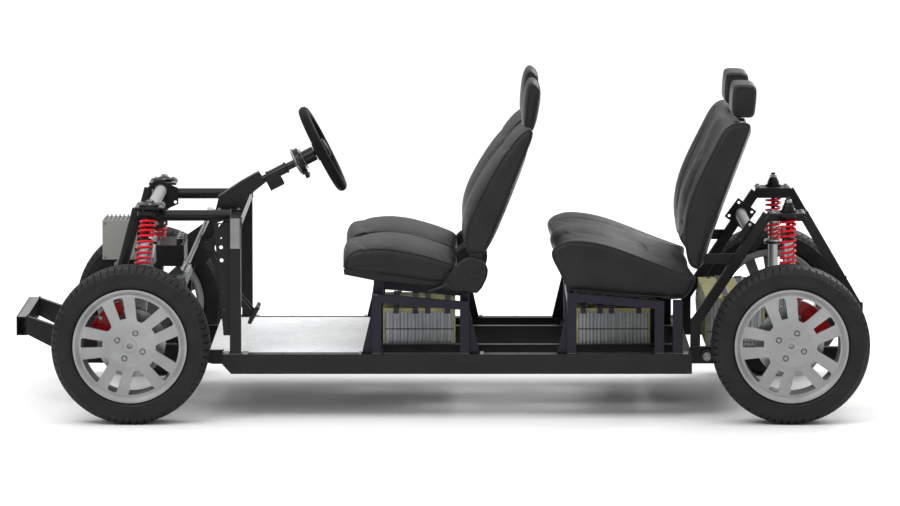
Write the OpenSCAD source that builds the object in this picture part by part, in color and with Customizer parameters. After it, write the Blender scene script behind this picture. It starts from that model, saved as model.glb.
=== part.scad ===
// Rolling chassis of a small four-seat electric car: a welded tube frame on four sprung wheels,
// with steering, pedals, seats and battery packs.
// Axes: the nose points to -X, the driver sits on the -Y side, +Z is up. The origin is on the
// ground, under the middle of the whole length. Inside the modules x counts from mid-wheelbase.

/* [Wheels] */
// Distance between the front and rear axles
wheelbase = 2400; // [2200:10:2600]
// Distance between the middle planes of the left and right wheels
track = 1400; // [1360:10:1440]
// Outer diameter of the tyres
tyre_d = 576; // [560:1:590]
// Width of the tyres at the bulge
tyre_w = 184; // [160:2:200]
// Bead diameter of the rims (15 inch)
bead_d = 381; // [381]
// Diameter of the circle of lug bolts
lug_pcd = 100; // [98:1:108]
// Diameter of the brake discs
disc_d = 250; // [220:2:256]

/* [Suspension] */
// Height of the strut nuts
strut_top_z = 796; // [780:1:810]
// Backward lean of the front struts, in degrees
front_caster = 6.85; // [0:0.05:8]
// Inward lean of the front struts, in degrees
front_inclination = 11.5; // [8:0.5:13]
// Outside radius of the coil springs
spring_r = 31; // [28:1:34]
// Wire radius of the coil springs
wire_r = 4.5; // [4:0.5:5]
// Number of coils in each spring
coils = 9.5; // [7:0.5:11]
// Height of the lower end of the springs
spring_low_z = 547; // [540:1:560]
// Height of the upper end of the springs
spring_high_z = 729; // [720:1:732]

/* [Frame] */
// Distance from the front axle to the face of the front beam
front_overhang = 446; // [440:1:480]
// Outer face of the side sills, from the middle of the car
sill_y = 605; // [600:1:607]
// Width of a side sill
sill_w = 60; // [40:1:70]
// Underside of the sills and inner rails
rail_low = 165; // [150:1:180]
// Top of the sills and inner rails
rail_top = 237; // [230:1:245]
// Top of the dash beam
dash_top = 739; // [735:1:745]
// Radius of the body bolt holes
body_hole_r = 6.5; // [5:0.5:8]
// Diameter of the circle of holes in the rear flanges
flange_pcd = 88; // [80:1:90]
// Radius of the holes in the rear flanges
flange_hole_r = 5.5; // [4.5:0.5:6]

/* [Cabin] */
// Distance of each seat's middle from the middle of the car
seat_y = 300; // [295:5:350]
// Outside diameter of the steering wheel
steering_wheel_d = 345; // [330:5:380]
// Angle of the steering column to the ground
column_angle = 27.2; // [20:0.1:32]

/* [Hidden] */
$fn = 64;
LEFT = -1;
RIGHT = 1;
FRONT = -1;
REAR = 1;
fit = 0.05;                                  // radial clearance of a shaft in its bore

tyre_r = tyre_d / 2;
bead_r = bead_d / 2;
mid_x = (front_overhang - tyre_r) / 2;       // mid-wheelbase, from the middle of the length
nose_x = -wheelbase / 2 - front_overhang;    // face of the front beam
axle_z = tyre_r;

// Strut axes: height above the axle to a point on the axis of the right strut
front_strut_top = [-1136, 497];
rear_strut_top = [1200, 500];
function strut_at(end, z) = end == FRONT
    ? [front_strut_top[0] + tan(front_caster) * (z - strut_top_z),
       front_strut_top[1] - tan(front_inclination) * (z - strut_top_z), z]
    : [rear_strut_top[0], rear_strut_top[1], z];

// Wheel layers, outboard from the wheel's middle plane
mount_face = 35;
disc_in = -45;
disc_out = -33;
spindle_r = 14;
carrier_in = -94;
carrier_out = -52;

// Frame places
sill_front_x = -872;
rail_end_x = 846;
beam_d = 40;
post_x = -844;
post_w = 41;
inner_rail_y = 290;
front_rail_y = 300;
tube_r = 20;
tower_y = 400;
tower_t = 8;
rear_leg_y = 440;
leg_w = 36;
flange_at = [1071, 652];
flange_t = 8;
flange_turn = 53.8;
cross_z = 227;

// Steering places
wheel_hub = [-510, -seat_y, 965];
column_end = 430;
shaft_r = 9;
joint_at = [-915, -seat_y, 752];
pinion_at = [-1038, -224, 482];
rack_x = -1040;
rack_z = 455;
rack_r = 12;
rack_half = 300;
arm_eye = [-1029, 545];
arm_z = 449;
arm_t = 12;
eye_r = 24;
arm_pivot_y = 340;
arm_pivot_z = 210;
arm_pin_r = 6;
trail_pivot = [905, 216];
pedal_pin = [-935, 610];
pin_r = 8;

// Seat places
slide_slope = 0.149;                         // fall of the seat runners towards the back
recline_at = [50, 530];
cushion_half = 240;
cover_t = 16;
headrest_lean = 8;

// ---- helpers -------------------------------------------------------------------------------

// Puts a shape drawn from mid-wheelbase into the part's own frame
module from_mid() { translate([mid_x, 0, 0]) children(); }

// A shape drawn for the right side, placed on the given side
module on_side(side) {
    if (side == RIGHT) children();
    else mirror([0, 1, 0]) children();
}

// A shape drawn for the right side, on both sides
module both_sides() { for (side = [LEFT, RIGHT]) on_side(side) children(); }

// An outline in x and z, filled from y0 to y1
module slab(points, y0, y1) {
    translate([0, y1, 0]) rotate([90, 0, 0]) linear_extrude(y1 - y0) polygon(points);
}

// A box from one corner to the opposite one
module block(low, high) { translate(low) cube(high - low); }

// The four corners of a bar of width w that runs from a to b in x and z
function strip(a, b, w) =
    let (d = (b - a) / norm(b - a), n = [-d[1], d[0]] * w / 2) [a + n, b + n, b - n, a - n];

// Children's z axis runs from a towards b
module along(a, b) {
    d = b - a;
    translate(a) rotate([0, acos(d[2] / norm(d)), atan2(d[1], d[0])]) children();
}

// A round bar from a to b
module rod(a, b, r) { along(a, b) cylinder(h = norm(b - a), r = r); }

// A round bar along y
module rod_y(x, z, r, y0, y1) { translate([x, y1, z]) rotate([90, 0, 0]) cylinder(h = y1 - y0, r = r); }

// Wheel frame of the right wheel: x as the car, y up, z outboard from the wheel's middle plane
module at_wheel(end) {
    translate([end * wheelbase / 2, track / 2, axle_z]) mirror([0, 1, 0]) rotate([90, 0, 0]) children();
}

// Strut frame of the right strut: z up the axis from the height given
module at_strut(end, z) { along(strut_at(end, z), strut_at(end, z + 100)) children(); }

// Length along a strut axis between two heights
function strut_run(end, z0, z1) = norm(strut_at(end, z1) - strut_at(end, z0));

// A round bar on a strut axis between two heights
module strut_bar(end, z0, z1, r) { at_strut(end, z0) cylinder(h = strut_run(end, z0, z1), r = r); }

// Column frame: origin in the steering wheel, z down the column
module at_column() { translate(wheel_hub) rotate([0, -90 - column_angle, 0]) children(); }

// ---- frame ---------------------------------------------------------------------------------

// Side sills: box tubes with a bevelled nose and body bolt holes in their top wall
body_bolt_x = [-650, 210];
module side_sills() {
    wall = 4;
    color("#2b2b2d") from_mid() both_sides() difference() {
        slab([[sill_front_x, 200], [sill_front_x + 32, rail_low], [rail_end_x, rail_low],
            [rail_end_x, rail_top], [sill_front_x, rail_top]], sill_y - sill_w, sill_y);
        block([sill_front_x + 50, sill_y - sill_w + wall, rail_low + wall],
            [rail_end_x + 1, sill_y - wall, rail_top - wall]);
        for (x = body_bolt_x)
            translate([x, sill_y - sill_w / 2, rail_top - 10]) cylinder(h = 20, r = body_hole_r);
    }
}

// Ladder between the sills: two inner rails and the cross members
module centre_frame() {
    inner = sill_y - sill_w;
    color("#252527") from_mid() {
        both_sides()
            block([-924, inner_rail_y - 20, rail_low], [rail_end_x - 40, inner_rail_y + 20, rail_top]);
        block([-924, -470, 187], [sill_front_x, 470, rail_top]);
        for (x = [-330, 0, 384, 706])
            block([x, -inner, 177], [x + 44, inner, cross_z]);
        block([rail_end_x - 40, -inner, rail_low], [rail_end_x, inner, rail_top]);
    }
}

// Bright floor sheet of the front footwell, with rows of rivet holes
module floor_panel() {
    sheet_t = 2;
    back = -335;
    side = sill_y - sill_w - 2;
    color("#e8e9ea") from_mid() translate([0, 0, rail_top]) difference() {
        linear_extrude(sheet_t) polygon([[-922, -468], [sill_front_x, -468], [sill_front_x, -side],
            [back, -side], [back, side], [sill_front_x, side], [sill_front_x, 468], [-922, 468]]);
        for (x = [-840:120:-360], y = [-500, 500])
            translate([x, y, -1]) cylinder(h = 4, r = 3);
    }
}

// Front frame: bumper beam, rails, strut towers with their shelves, and the tubes to the dash
tower_hole = [-1091, 699];
module tower_plate() {
    difference() {
        slab([[-1214, 708], [-1196, 755], [-1172, 780], [-1145, 784], [-1110, 766], [-1081, 753],
            [-1079, 692], [-1122, 672], [-1195, 690]], tower_y - tower_t / 2, tower_y + tower_t / 2);
        rod_y(tower_hole[0], tower_hole[1], 6, tower_y - 10, tower_y + 10);
    }
}
module tower_shelf() {
    centre = strut_at(FRONT, 768);
    difference() {
        block([-1192, tower_y, 764], [-1088, 548, 772]);
        translate([centre[0], centre[1], 760]) cylinder(h = 20, r = 31);
    }
}
module front_frame() {
    color("#262628") from_mid() {
        difference() {
            block([nose_x, -320, 273], [nose_x + beam_d, 320, 343]);
            block([nose_x + 4, -321, 277], [nose_x + beam_d - 4, 321, 339]);
        }
        both_sides() {
            slab([[nose_x + beam_d, 343], [nose_x + beam_d, 276], [-1400, 170], [-924, 170],
                [-924, rail_top], [-1305, rail_top]], front_rail_y - 20, front_rail_y + 20);
            tower_plate();
            tower_shelf();
            rod([-1334, tower_y, 212], [-1190, tower_y, 752], tube_r);
            rod([-1110, tower_y + tube_r + 3, 730], [post_x, tower_y + tube_r + 3, 730], tube_r);
            for (x = [[-1255, -1243, -1222], [-1155, -1167, -1188]]) {
                block([min(x[0], x[1]), front_rail_y + 20, 195], [max(x[0], x[1]), arm_pivot_y + 18, 225]);
                rod([x[1], arm_pivot_y, arm_pivot_z], [x[2], arm_pivot_y, arm_pivot_z], arm_pin_r);
            }
        }
        block([-1354, -tower_y - 20, 185], [-1314, tower_y + 20, 230]);
        block([-1344, 210, 230], [-1324, 230, 500]);
        block([-1344, 340, 230], [-1324, 360, 500]);
        for (y = [-200, 170])
            block([rack_x - 20, y, rail_top - 60], [rack_x + 20, y + 30, rack_z - 32]);
        block([rack_x - 20, -front_rail_y, 177], [rack_x + 20, front_rail_y, rail_top - 10]);
    }
    color("#a9abad") from_mid() rod_y(-1147, 742, 22, -tower_y + tower_t / 2, tower_y - tower_t / 2);
}

// Dash frame: posts, dash beam, perforated side plates and the pedal panel with its pin
module dash_frame() {
    color("#2a2a2c") from_mid() {
        both_sides() {
            block([post_x, sill_y - 40, rail_top], [post_x + post_w, sill_y, dash_top]);
            difference() {
                slab([[-902, 718], [post_x, 718], [post_x, 305], [-868, 305]], sill_y - 24, sill_y - 20);
                for (hole = [[707, 9], [664, 6], [629, 9], [581, 9], [531, 5], [465, 5], [400, 5]])
                    rod_y(post_x - 20 - (hole[0] - 305) * 0.035, hole[0], hole[1] * 0.75,
                        sill_y - 30, sill_y - 10);
            }
        }
        block([post_x, -sill_y + 40, dash_top - 40], [post_x + post_w, sill_y - 40, dash_top]);
        slab([[-1017, 636], [-937, 691], [post_x, 735], [post_x, 700], [-905, 680], [-918, 562],
            [-960, 520], [-1017, 520]], -193, -187);
        slab(strip([-850, 715], [-935, 600], 30), -400, -394);
        difference() {
            rod_y(pedal_pin[0], pedal_pin[1], pin_r, -400, -187);
            rod_y(pedal_pin[0], pedal_pin[1], 3, -405, -390);
        }
    }
}

// Rear frame: lower rails, tower legs, spring plates, backrest brackets, and the cross tube on flanges
module rear_flange() {
    y0 = rear_leg_y - leg_w / 2 - flange_t;
    translate([flange_at[0], y0 + flange_t, flange_at[1]]) rotate([90, 0, 0]) rotate(flange_turn)
        difference() {
            translate([-44, -44, 0]) cube([88, 88, flange_t]);
            for (i = [0:3])
                rotate(45 + 90 * i) translate([flange_pcd / 2, 0, -1])
                    cylinder(h = flange_t + 2, r = flange_hole_r);
        }
}
module rear_frame() {
    y0 = rear_leg_y - leg_w / 2;
    y1 = rear_leg_y + leg_w / 2;
    color("#242426") from_mid() {
        both_sides() {
            slab([[rail_end_x, 185], [1480, 185], [1480, 246], [rail_end_x, 246]], y0, y1);
            slab(strip([864, 246], [864, 345], leg_w), y0, y1);
            slab(strip([864, 335], [1128, 735], leg_w), y0, y1);
            slab([[1118, 712], [1268, 712], [1262, 750], [1130, 750]], y0, y1);
            slab(strip([1258, 742], [1458, 400], leg_w), y0, y1);
            slab(strip([1462, 410], [1462, 246], leg_w), y0, y1);
            difference() {
                block([1130, rear_leg_y, 742], [1262, 560, 750]);
                translate([rear_strut_top[0], rear_strut_top[1], 735]) cylinder(h = 20, r = 11);
            }
            rear_flange();
            rod_y(trail_pivot[0], trail_pivot[1], 10, y1 - 4, y1 + 42);
            slab([[882, 552], [892, 590], [1020, 590], [995, 552]], rear_leg_y - 4, rear_leg_y + 4);
        }
        block([1440, -y0, 190], [1480, y0, 240]);
        for (x = [925, 1130])
            block([x, -y0, 187], [x + 30, y0, rail_top]);
    }
    color("#a9abad") from_mid() rod_y(flange_at[0], flange_at[1], 21, -y0 + flange_t, y0 - flange_t);
}

// ---- seat stands, batteries and drive --------------------------------------------------------

// One side frame of a stand: two legs and a sloping top bar
module stand_frame(x0, x1, z0, z1, foot, y0, y1) {
    leg = 34;
    bar = 30;
    slope = (z1 - z0) / (x1 - x0);
    difference() {
        slab([[x0, foot], [x0, z0], [x1, z1], [x1, foot]], y0, y1);
        slab([[x0 + leg, foot - 1], [x0 + leg, z0 - bar + slope * leg],
            [x1 - leg, z1 - bar - slope * leg], [x1 - leg, foot - 1]], y0 - 1, y1 + 1);
    }
}
function runner_z(x) = 535 - slide_slope * (x + 436);
module seat_stands() {
    top_f = [457, 427];
    top_r = [462, 430];
    color("#232030") from_mid() both_sides() {
        stand_frame(-325, 31, top_f[0], top_f[1], rail_top, 562, 592);
        stand_frame(-325, 31, top_f[0], top_f[1], cross_z, 110, 140);
        stand_frame(389, 744, top_r[0], top_r[1], rail_top, 562, 592);
        stand_frame(389, 744, top_r[0] - 7, top_r[1] - 7, cross_z, 110, 140);
        for (x = [[-325, -297, 425], [5, 31, 402], [389, 417, 428], [716, 744, 405]])
            block([x[0], 95, x[2] - 5], [x[1], 562, x[2] + 22]);
        for (x = [395, 716])
            block([x, 480, 420], [x + 22, 520, 459 - 0.081 * (x - 395)]);
        slab([[-362, rail_top], [-325, 395], [-325, rail_top]], 566, 572);
        slab([[31, 405], [31, rail_top], [70, rail_top]], 566, 572);
        slab([[352, rail_top], [389, 395], [389, rail_top]], 566, 572);
        block([776, 562, rail_top], [812, 592, 434]);
        for (y = [seat_y - 195, seat_y + 179]) {
            for (x = [[-319, 36], [4, 26]])
                block([x[0], y, x[0] < 0 ? 440 : 405], [x[0] + x[1], y + 26, runner_z(x[0] + x[1]) - 12]);
            slab([[-345, runner_z(-345)], [45, runner_z(45)], [45, runner_z(45) - 14],
                [-345, runner_z(-345) - 14]], y, y + 26);
        }
    }
}

// Battery packs: ribbed grey modules in the front, middle and tail bays
pack_top = 356;
packs = [[-288, -20, 265, cross_z, pack_top], [431, 703, 265, cross_z, pack_top],
    [906, 1124, 350, rail_top, 404]];
module battery_modules() {
    rib = 3;
    color("#8e9092") from_mid() for (pack = packs) {
        count = 9;
        step = (pack[1] - pack[0] - 12) / count;
        block([pack[0] + 6, -pack[2] + rib, pack[3]], [pack[1] - 6, pack[2] - rib, pack[4]]);
        for (i = [0:count - 1]) {
            block([pack[0] + 9 + i * step, -pack[2], pack[3] + 4],
                [pack[0] + 3 + (i + 1) * step, pack[2], pack[4] - 4]);
        }
    }
}

// Yellow lids of the packs, turned down over the ends
module battery_lids() {
    color("#c9bf6a") from_mid() for (pack = packs) {
        block([pack[0], -pack[2], pack[4]], [pack[1], pack[2], pack[4] + 12]);
        block([pack[0], -pack[2], pack[3]], [pack[0] + 6, pack[2], pack[4]]);
        block([pack[1] - 6, -pack[2], pack[3]], [pack[1], pack[2], pack[4]]);
    }
}

// Electric motor and reduction gear across the front axle, on feet on the rails
module drive_unit() {
    x = -wheelbase / 2 + 10;
    z = 318;
    color("#4b4d50") from_mid() {
        rod_y(x, z, 96, -190, 90);
        for (y = [-170:40:70])
            rod_y(x, z, 104, y - 5, y + 5);
        rod_y(x, z, 84, 90, 200);
        rod_y(x + 66, z - 20, 54, 100, 190);
        block([x - 90, -279, 205], [x + 90, -250, 235]);
        block([x - 30, -279, 225], [x + 30, -185, 300]);
        block([x - 30, 195, 225], [x + 30, 279, 300]);
    }
}

// Charger box on the front posts and motor controller above the motor
module power_electronics() {
    color("#8b8c88") from_mid() {
        block([-1358, 196, 500], [-1236, 372, 648]);
        for (x = [-1350:16:-1250])
            block([x, 200, 648], [x + 5, 368, 656]);
    }
    color("#202022") from_mid() {
        block([-1136, -150, 512], [-1032, 170, 590]);
        for (y = [-110:70:100])
            translate([-1050, y, 590]) cylinder(h = 22, r = 12);
        block([-1150, -60, 414], [-1120, 60, 512]);
    }
}

// Steering rack housing with its pinion tower and two clamps
module steering_rack_housing() {
    color("#6d6f72") from_mid() difference() {
        union() {
            rod_y(rack_x, rack_z, 22, -232, 232);
            for (y = [-200, 170])
                block([rack_x - 20, y, rack_z - 32], [rack_x + 20, y + 30, rack_z + 4]);
            rod([rack_x, -218, 462], pinion_at, 17);
        }
        rod_y(rack_x, rack_z, rack_r + fit, -250, 250);
    }
}

// Upper strut mounts: rod, rubber seat, flange and nut
module strut_tops() {
    color("#1d1d1f") from_mid() both_sides() {
        front = strut_at(FRONT, 772);
        strut_bar(FRONT, 620, 740, 8);
        strut_bar(FRONT, 733, 748, 42);
        translate([front[0], front[1], 740.5]) cylinder(h = 33, r = 27);
        translate([front[0], front[1], 772]) cylinder(h = 8, r = 44);
        translate([front[0], front[1], 778]) cylinder(h = 9, r1 = 34, r2 = 18);
        translate([front[0], front[1], 785]) cylinder(h = strut_top_z - 785, r = 9);
        strut_bar(REAR, 620, 735, 8);
        strut_bar(REAR, 731, 742, 33);
        strut_bar(REAR, 738, 752, 10.5);
        strut_bar(REAR, 750, 756, 31);
        translate([rear_strut_top[0], rear_strut_top[1], 754]) cylinder(h = 30, r1 = 24, r2 = 15);
        strut_bar(REAR, 780, 803, 8);
    }
}

// ---- wheels --------------------------------------------------------------------------------

// Half outline of the tyre in radius and width; the other half is its mirror image
function tyre_half() = let (w = tyre_w / 2) [
    [bead_r, w - 33], [bead_r, w - 15], [208, w - 14.5], [216, w - 5], [232, w - 1], [246, w],
    [258, w - 1.5], [270, w - 6], [280, w - 13], [tyre_r - 2.5, w - 21], [tyre_r, w - 32]];
function tyre_inner() = let (w = tyre_w / 2) [
    [200, w - 30], [218, w - 16], [245, w - 11], [264, w - 17], [tyre_r - 14, w - 30]];
function flip(points) = [for (i = [len(points) - 1:-1:0]) [points[i][0], -points[i][1]]];
module tyre(end, side) {
    color("#303032") from_mid() on_side(side) at_wheel(end) rotate_extrude($fn = 96) difference() {
        polygon(concat(tyre_half(), flip(tyre_half())));
        polygon(concat([[bead_r - 1, 50]], tyre_inner(), flip(tyre_inner()), [[bead_r - 1, -50]]));
        for (z = [-44, -15, 15, 44])
            translate([tyre_r - 7, z - 3.5]) square([10, 7]);
    }
}

// Alloy rim: barrel and a face with five pairs of spokes
rim_well = [[207, -86], [207, -79], [bead_r - 0.2, -77], [bead_r - 0.2, -59], [182, -50], [180, 0],
    [bead_r - 0.2, 59], [bead_r - 0.2, 77], [207, 79], [207, 86]];
rim_bore = [[199, 86], [183, 70], [175, 0], [176, -48], [184, -62], [185, -78], [199, -86]];
module rim_windows() {
    for (i = [0:4]) {
        rotate(104 + 72 * i) polygon([[100, -11], [172, -18], [178, -12], [178, 12], [172, 18], [100, 11]]);
        rotate(68 + 72 * i) intersection() {
            polygon([[94, -8], [102, -15], [170, -49], [190, -46], [190, 46], [170, 49], [102, 15], [94, 8]]);
            circle(r = 178);
        }
    }
}
module rim(end, side) {
    color("#b9babc") from_mid() on_side(side) at_wheel(end) difference() {
        union() {
            rotate_extrude($fn = 96) polygon(concat(rim_well, rim_bore));
            rotate_extrude() polygon([[0, mount_face], [72, mount_face], [84, 46], [120, 50], [184, 60],
                [188, 74], [183, 76], [120, 68], [78, 64], [0, 64]]);
            translate([0, 0, 62]) cylinder(h = 5, r = 24);
        }
        translate([0, 0, 20]) linear_extrude(70) rim_windows();
        translate([0, 0, 30]) cylinder(h = 50, r = 11);
        for (i = [0:3]) rotate(66 + 90 * i) translate([lug_pcd / 2, 0, 0]) {
            translate([0, 0, 30]) cylinder(h = 50, r = 6.5);
            translate([0, 0, 55]) cylinder(h = 20, r = 11);
        }
    }
}

// Brake disc with hub, and the four lug bolts that hold the rim
module brake_disc(end, side) {
    color("#9a9c9f") from_mid() on_side(side) at_wheel(end) difference() {
        union() {
            translate([0, 0, disc_in]) cylinder(h = disc_out - disc_in, r = disc_d / 2);
            translate([0, 0, disc_out - 1]) cylinder(h = 56, r = 62);
            translate([0, 0, mount_face - 13]) cylinder(h = 13, r = 68);
            for (i = [0:3]) rotate(66 + 90 * i) translate([lug_pcd / 2, 0, mount_face - 3]) {
                cylinder(h = 25, r = 6);
                translate([0, 0, 23]) cylinder(h = 8, r = 9);
            }
        }
        translate([0, 0, disc_in - 1]) cylinder(h = 90, r = spindle_r + fit);
        for (i = [0:23]) rotate(15 * i) translate([i % 2 == 0 ? 82 : 106, 0, disc_in - 1])
            cylinder(h = 20, r = 3);
    }
}

// Caliper over the disc: ahead of the front axle, behind the rear one
caliper_r = [82, 158];
module caliper(end, side) {
    middle = end == FRONT ? 140 : 40;
    color("#d4141c") from_mid() on_side(side) at_wheel(end) difference() {
        intersection() {
            translate([0, 0, -72]) difference() {
                cylinder(h = 54, r = caliper_r[1]);
                translate([0, 0, -1]) cylinder(h = 60, r = caliper_r[0]);
            }
            translate([0, 0, -80]) rotate(middle) linear_extrude(80)
                polygon([[0, 0], [200, -146], [260, 0], [200, 146]]);
        }
        translate([0, 0, disc_in - 2]) cylinder(h = disc_out - disc_in + 4, r = disc_d / 2 + 3);
    }
}

// ---- suspension ------------------------------------------------------------------------------

// Strut tube, spring seat and knuckle with spindle, steering arm or bracket
module strut(end, side) {
    bracket = end == FRONT ? 140 : 40;
    stud = strut_at(end, 205);
    low = end == FRONT ? 446 : 400;
    color("#a6a8ab") from_mid() on_side(side) at_strut(end, low) difference() {
        union() {
            cylinder(h = strut_run(end, low, 655), r = 19);
            translate([0, 0, strut_run(end, low, 530)]) cylinder(h = 16, r = 36);
        }
        translate([0, 0, strut_run(end, low, 560)]) cylinder(h = 160, r = 8 + fit);
    }
    color("#58595c") from_mid() on_side(side) {
        at_wheel(end) {
            translate([0, 0, carrier_in]) cylinder(h = carrier_out - carrier_in, r = 46);
            translate([0, 0, carrier_out - 1]) cylinder(h = mount_face - 3 - carrier_out, r = spindle_r);
            translate([0, 0, -80]) rotate(bracket) translate([30, -26, 0]) cube([80, 52, 8]);
        }
        if (end == FRONT) {
            translate([stud[0], stud[1], 190]) cylinder(h = 46, r = 9);
            block([-1226, 588, 226], [-1182, 630, 262]);
            block([-1232, 566, 252], [-1164, 612, 420]);
            at_strut(end, 400) rotate(59.5) translate([-34, -28, 0]) cube([68, 56, 76]);
            difference() {
                union() {
                    block([-1180, arm_eye[1] - 12, arm_z], [arm_eye[0], arm_eye[1] + 22, arm_z + arm_t]);
                    translate([arm_eye[0], arm_eye[1], arm_z]) cylinder(h = arm_t, r = eye_r + 14);
                }
                translate([arm_eye[0], arm_eye[1], arm_z - 1]) cylinder(h = arm_t + 2, r = eye_r + 4);
            }
        }
        else {
            strut_bar(end, 270, 400, 27);
            block([1180, 500, 262], [1222, 640, 318]);
            rod_y(1150, 240, 9, 492, 530);
            block([1140, 520, 228], [1200, 534, 275]);
        }
    }
}

// Coil spring swept along a helix; rings of points are joined by quads
ring_n = 6;
turn_n = 14;
module spring(end, side) {
    rings = coils * turn_n;
    run = strut_run(end, spring_low_z, spring_high_z) - 2 * wire_r;
    r = spring_r - wire_r;
    points = [for (i = [0:rings]) let (a = 360 * i / turn_n) for (j = [0:ring_n - 1])
        let (b = 360 * j / ring_n, q = r + wire_r * cos(b))
        [q * cos(a), q * sin(a), wire_r + run * i / rings + wire_r * sin(b)]];
    sides = [for (i = [0:rings - 1], j = [0:ring_n - 1]) let (k = (j + 1) % ring_n, m = i * ring_n)
        [m + j, m + k, m + ring_n + k, m + ring_n + j]];
    ends = [[for (j = [ring_n - 1:-1:0]) j], [for (j = [0:ring_n - 1]) rings * ring_n + j]];
    color("#d8131b") from_mid() on_side(side) at_strut(end, spring_low_z)
        polyhedron(points, concat(sides, ends));
}

// Front lower arm: two legs from the pivots to an open eye round the ball stud
module lower_arm(side) {
    outer = strut_at(FRONT, arm_pivot_z - 5);
    color("#2e2f31") from_mid() on_side(side) {
        for (x = [-1241, -1187]) difference() {
            rod([x, arm_pivot_y, arm_pivot_z], [x + 18, arm_pivot_y, arm_pivot_z], 16);
            rod([x - 1, arm_pivot_y, arm_pivot_z], [x + 19, arm_pivot_y, arm_pivot_z], arm_pin_r + fit);
        }
        difference() {
            union() {
                translate([0, 0, arm_pivot_z - 11]) linear_extrude(12) polygon([[-1241, arm_pivot_y + 12],
                    [-1169, arm_pivot_y + 12], [-1169, arm_pivot_y + 50], [outer[0] + 26, outer[1] - 20],
                    [outer[0] - 26, outer[1] - 20], [-1241, arm_pivot_y + 50]]);
                translate([outer[0], outer[1], arm_pivot_z - 11]) cylinder(h = 12, r = eye_r + 4);
            }
            translate([outer[0], outer[1], arm_pivot_z - 20]) cylinder(h = 30, r = eye_r);
            translate([-1206, arm_pivot_y + 95, arm_pivot_z - 20]) cylinder(h = 30, r = 22);
        }
    }
}

// Rear trailing arm: a bar from the rail pin back to an open eye round the knuckle stud
module trailing_arm(side) {
    y0 = rear_leg_y + leg_w / 2 + 4;
    color("#2e2f31") from_mid() on_side(side) difference() {
        union() {
            slab(strip(trail_pivot, [1120, 238], 34), y0, y0 + 30);
            rod_y(trail_pivot[0], trail_pivot[1], 24, y0, y0 + 30);
            rod_y(1150, 240, eye_r + 8, y0 + 6, y0 + 36);
        }
        rod_y(trail_pivot[0], trail_pivot[1], 10 + fit, y0 - 5, y0 + 40);
        rod_y(1150, 240, eye_r, y0, y0 + 40);
    }
}

// ---- steering ------------------------------------------------------------------------------

// Rack bar that slides in the housing
module rack_bar() {
    color("#b4b6b8") from_mid() rod_y(rack_x, rack_z, rack_r, -rack_half, rack_half);
}

// Tie rod with the upright pin that stands in the eye of the steering arm
module tie_rod(side) {
    low = rack_z - 30;
    color("#77797b") from_mid() on_side(side) {
        rod([rack_x - 10, rack_half + 12, rack_z], [rack_x + 10, rack_half + 12, rack_z], 10);
        rod([rack_x, rack_half + 12, rack_z], [rack_x, rack_half + 64, low], 8);
        rod([rack_x, rack_half + 62, low], [rack_x, arm_eye[1], low], 8);
        translate([rack_x, arm_eye[1], low - 9]) cylinder(h = 52, r = 6);
        translate([rack_x, arm_eye[1], low - 10]) cylinder(h = 18, r = 14);
    }
}

// Steering wheel with three spokes, boss and the shaft inside the column
module steering_wheel() {
    rim_r = 18.5;
    ring = steering_wheel_d / 2 - rim_r;
    color("#222224") from_mid() at_column() {
        rotate_extrude() translate([ring, 0]) circle(r = rim_r, $fn = 32);
        for (a = [90, 180, 270]) rotate(a)
            rod([20, 0, 16], [ring - 8, 0, 0], 11);
        translate([0, 0, -4]) cylinder(h = 34, r = 34);
        cylinder(h = column_end, r = shaft_r);
    }
}

// Fixed column: jacket, switch carrier, clamp plate and the stamped bracket on the dash beam
module steering_column() {
    color("#1e1e20") from_mid() difference() {
        union() {
            at_column() {
                translate([0, 0, 34]) cylinder(h = 52, r = 27);
                translate([0, 0, 86]) cylinder(h = 20, r = 48);
                translate([-70, -22, 88]) cube([60, 44, 14]);
                translate([0, 0, 100]) cylinder(h = 325, r = 14);
                translate([0, 0, 150]) cylinder(h = 80, r = 19);
                difference() {
                    translate([-50, -22, 185]) cube([50, 44, 55]);
                    translate([-60, -18, 180]) cube([45, 36, 70]);
                    for (z = [198, 227])
                        translate([-33, -30, z]) rotate([-90, 0, 0]) cylinder(h = 60, r = 4.5);
                }
            }
            for (y = [-seat_y - 36, -seat_y + 32])
                slab([[-749, 880], [-722, 842], [-779, 797], [-803, dash_top], [-906, dash_top],
                    [-895, 786], [-867, 807], [-811, 846]], y, y + 4);
            rod_y(-780, 826, 6, -seat_y - 34, -seat_y + 34);
            slab(strip([-895, 788], [-811, 844], 5), -seat_y - 36, -seat_y + 36);
            slab(strip([-811, 844], [-749, 878], 5), -seat_y - 36, -seat_y + 36);
            block([-906, -seat_y - 50, dash_top], [-803, -seat_y + 50, dash_top + 5]);
        }
        at_column() translate([0, 0, 20]) cylinder(h = 430, r = shaft_r + fit);
    }
}

// Shaft between the column and the rack, with a yoke at each end
module intermediate_shaft() {
    color("#8c8e90") from_mid() along(joint_at, pinion_at) {
        span = norm(pinion_at - joint_at);
        translate([0, 0, 26]) cylinder(h = span - 60, r = 9);
        translate([0, 0, 14]) cylinder(h = 30, r = 15);
        translate([0, 0, span - 62]) cylinder(h = 34, r = 15);
    }
}

// Indicator stalk on the driver's left of the column switch
module indicator_stalk() {
    color("#1a1a1c") from_mid() at_column() {
        translate([0, -58, 88]) cylinder(h = 16, r = 8);
        rod([0, -58, 96], [14, -150, 86], 6);
    }
}

// ---- pedals --------------------------------------------------------------------------------

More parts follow.
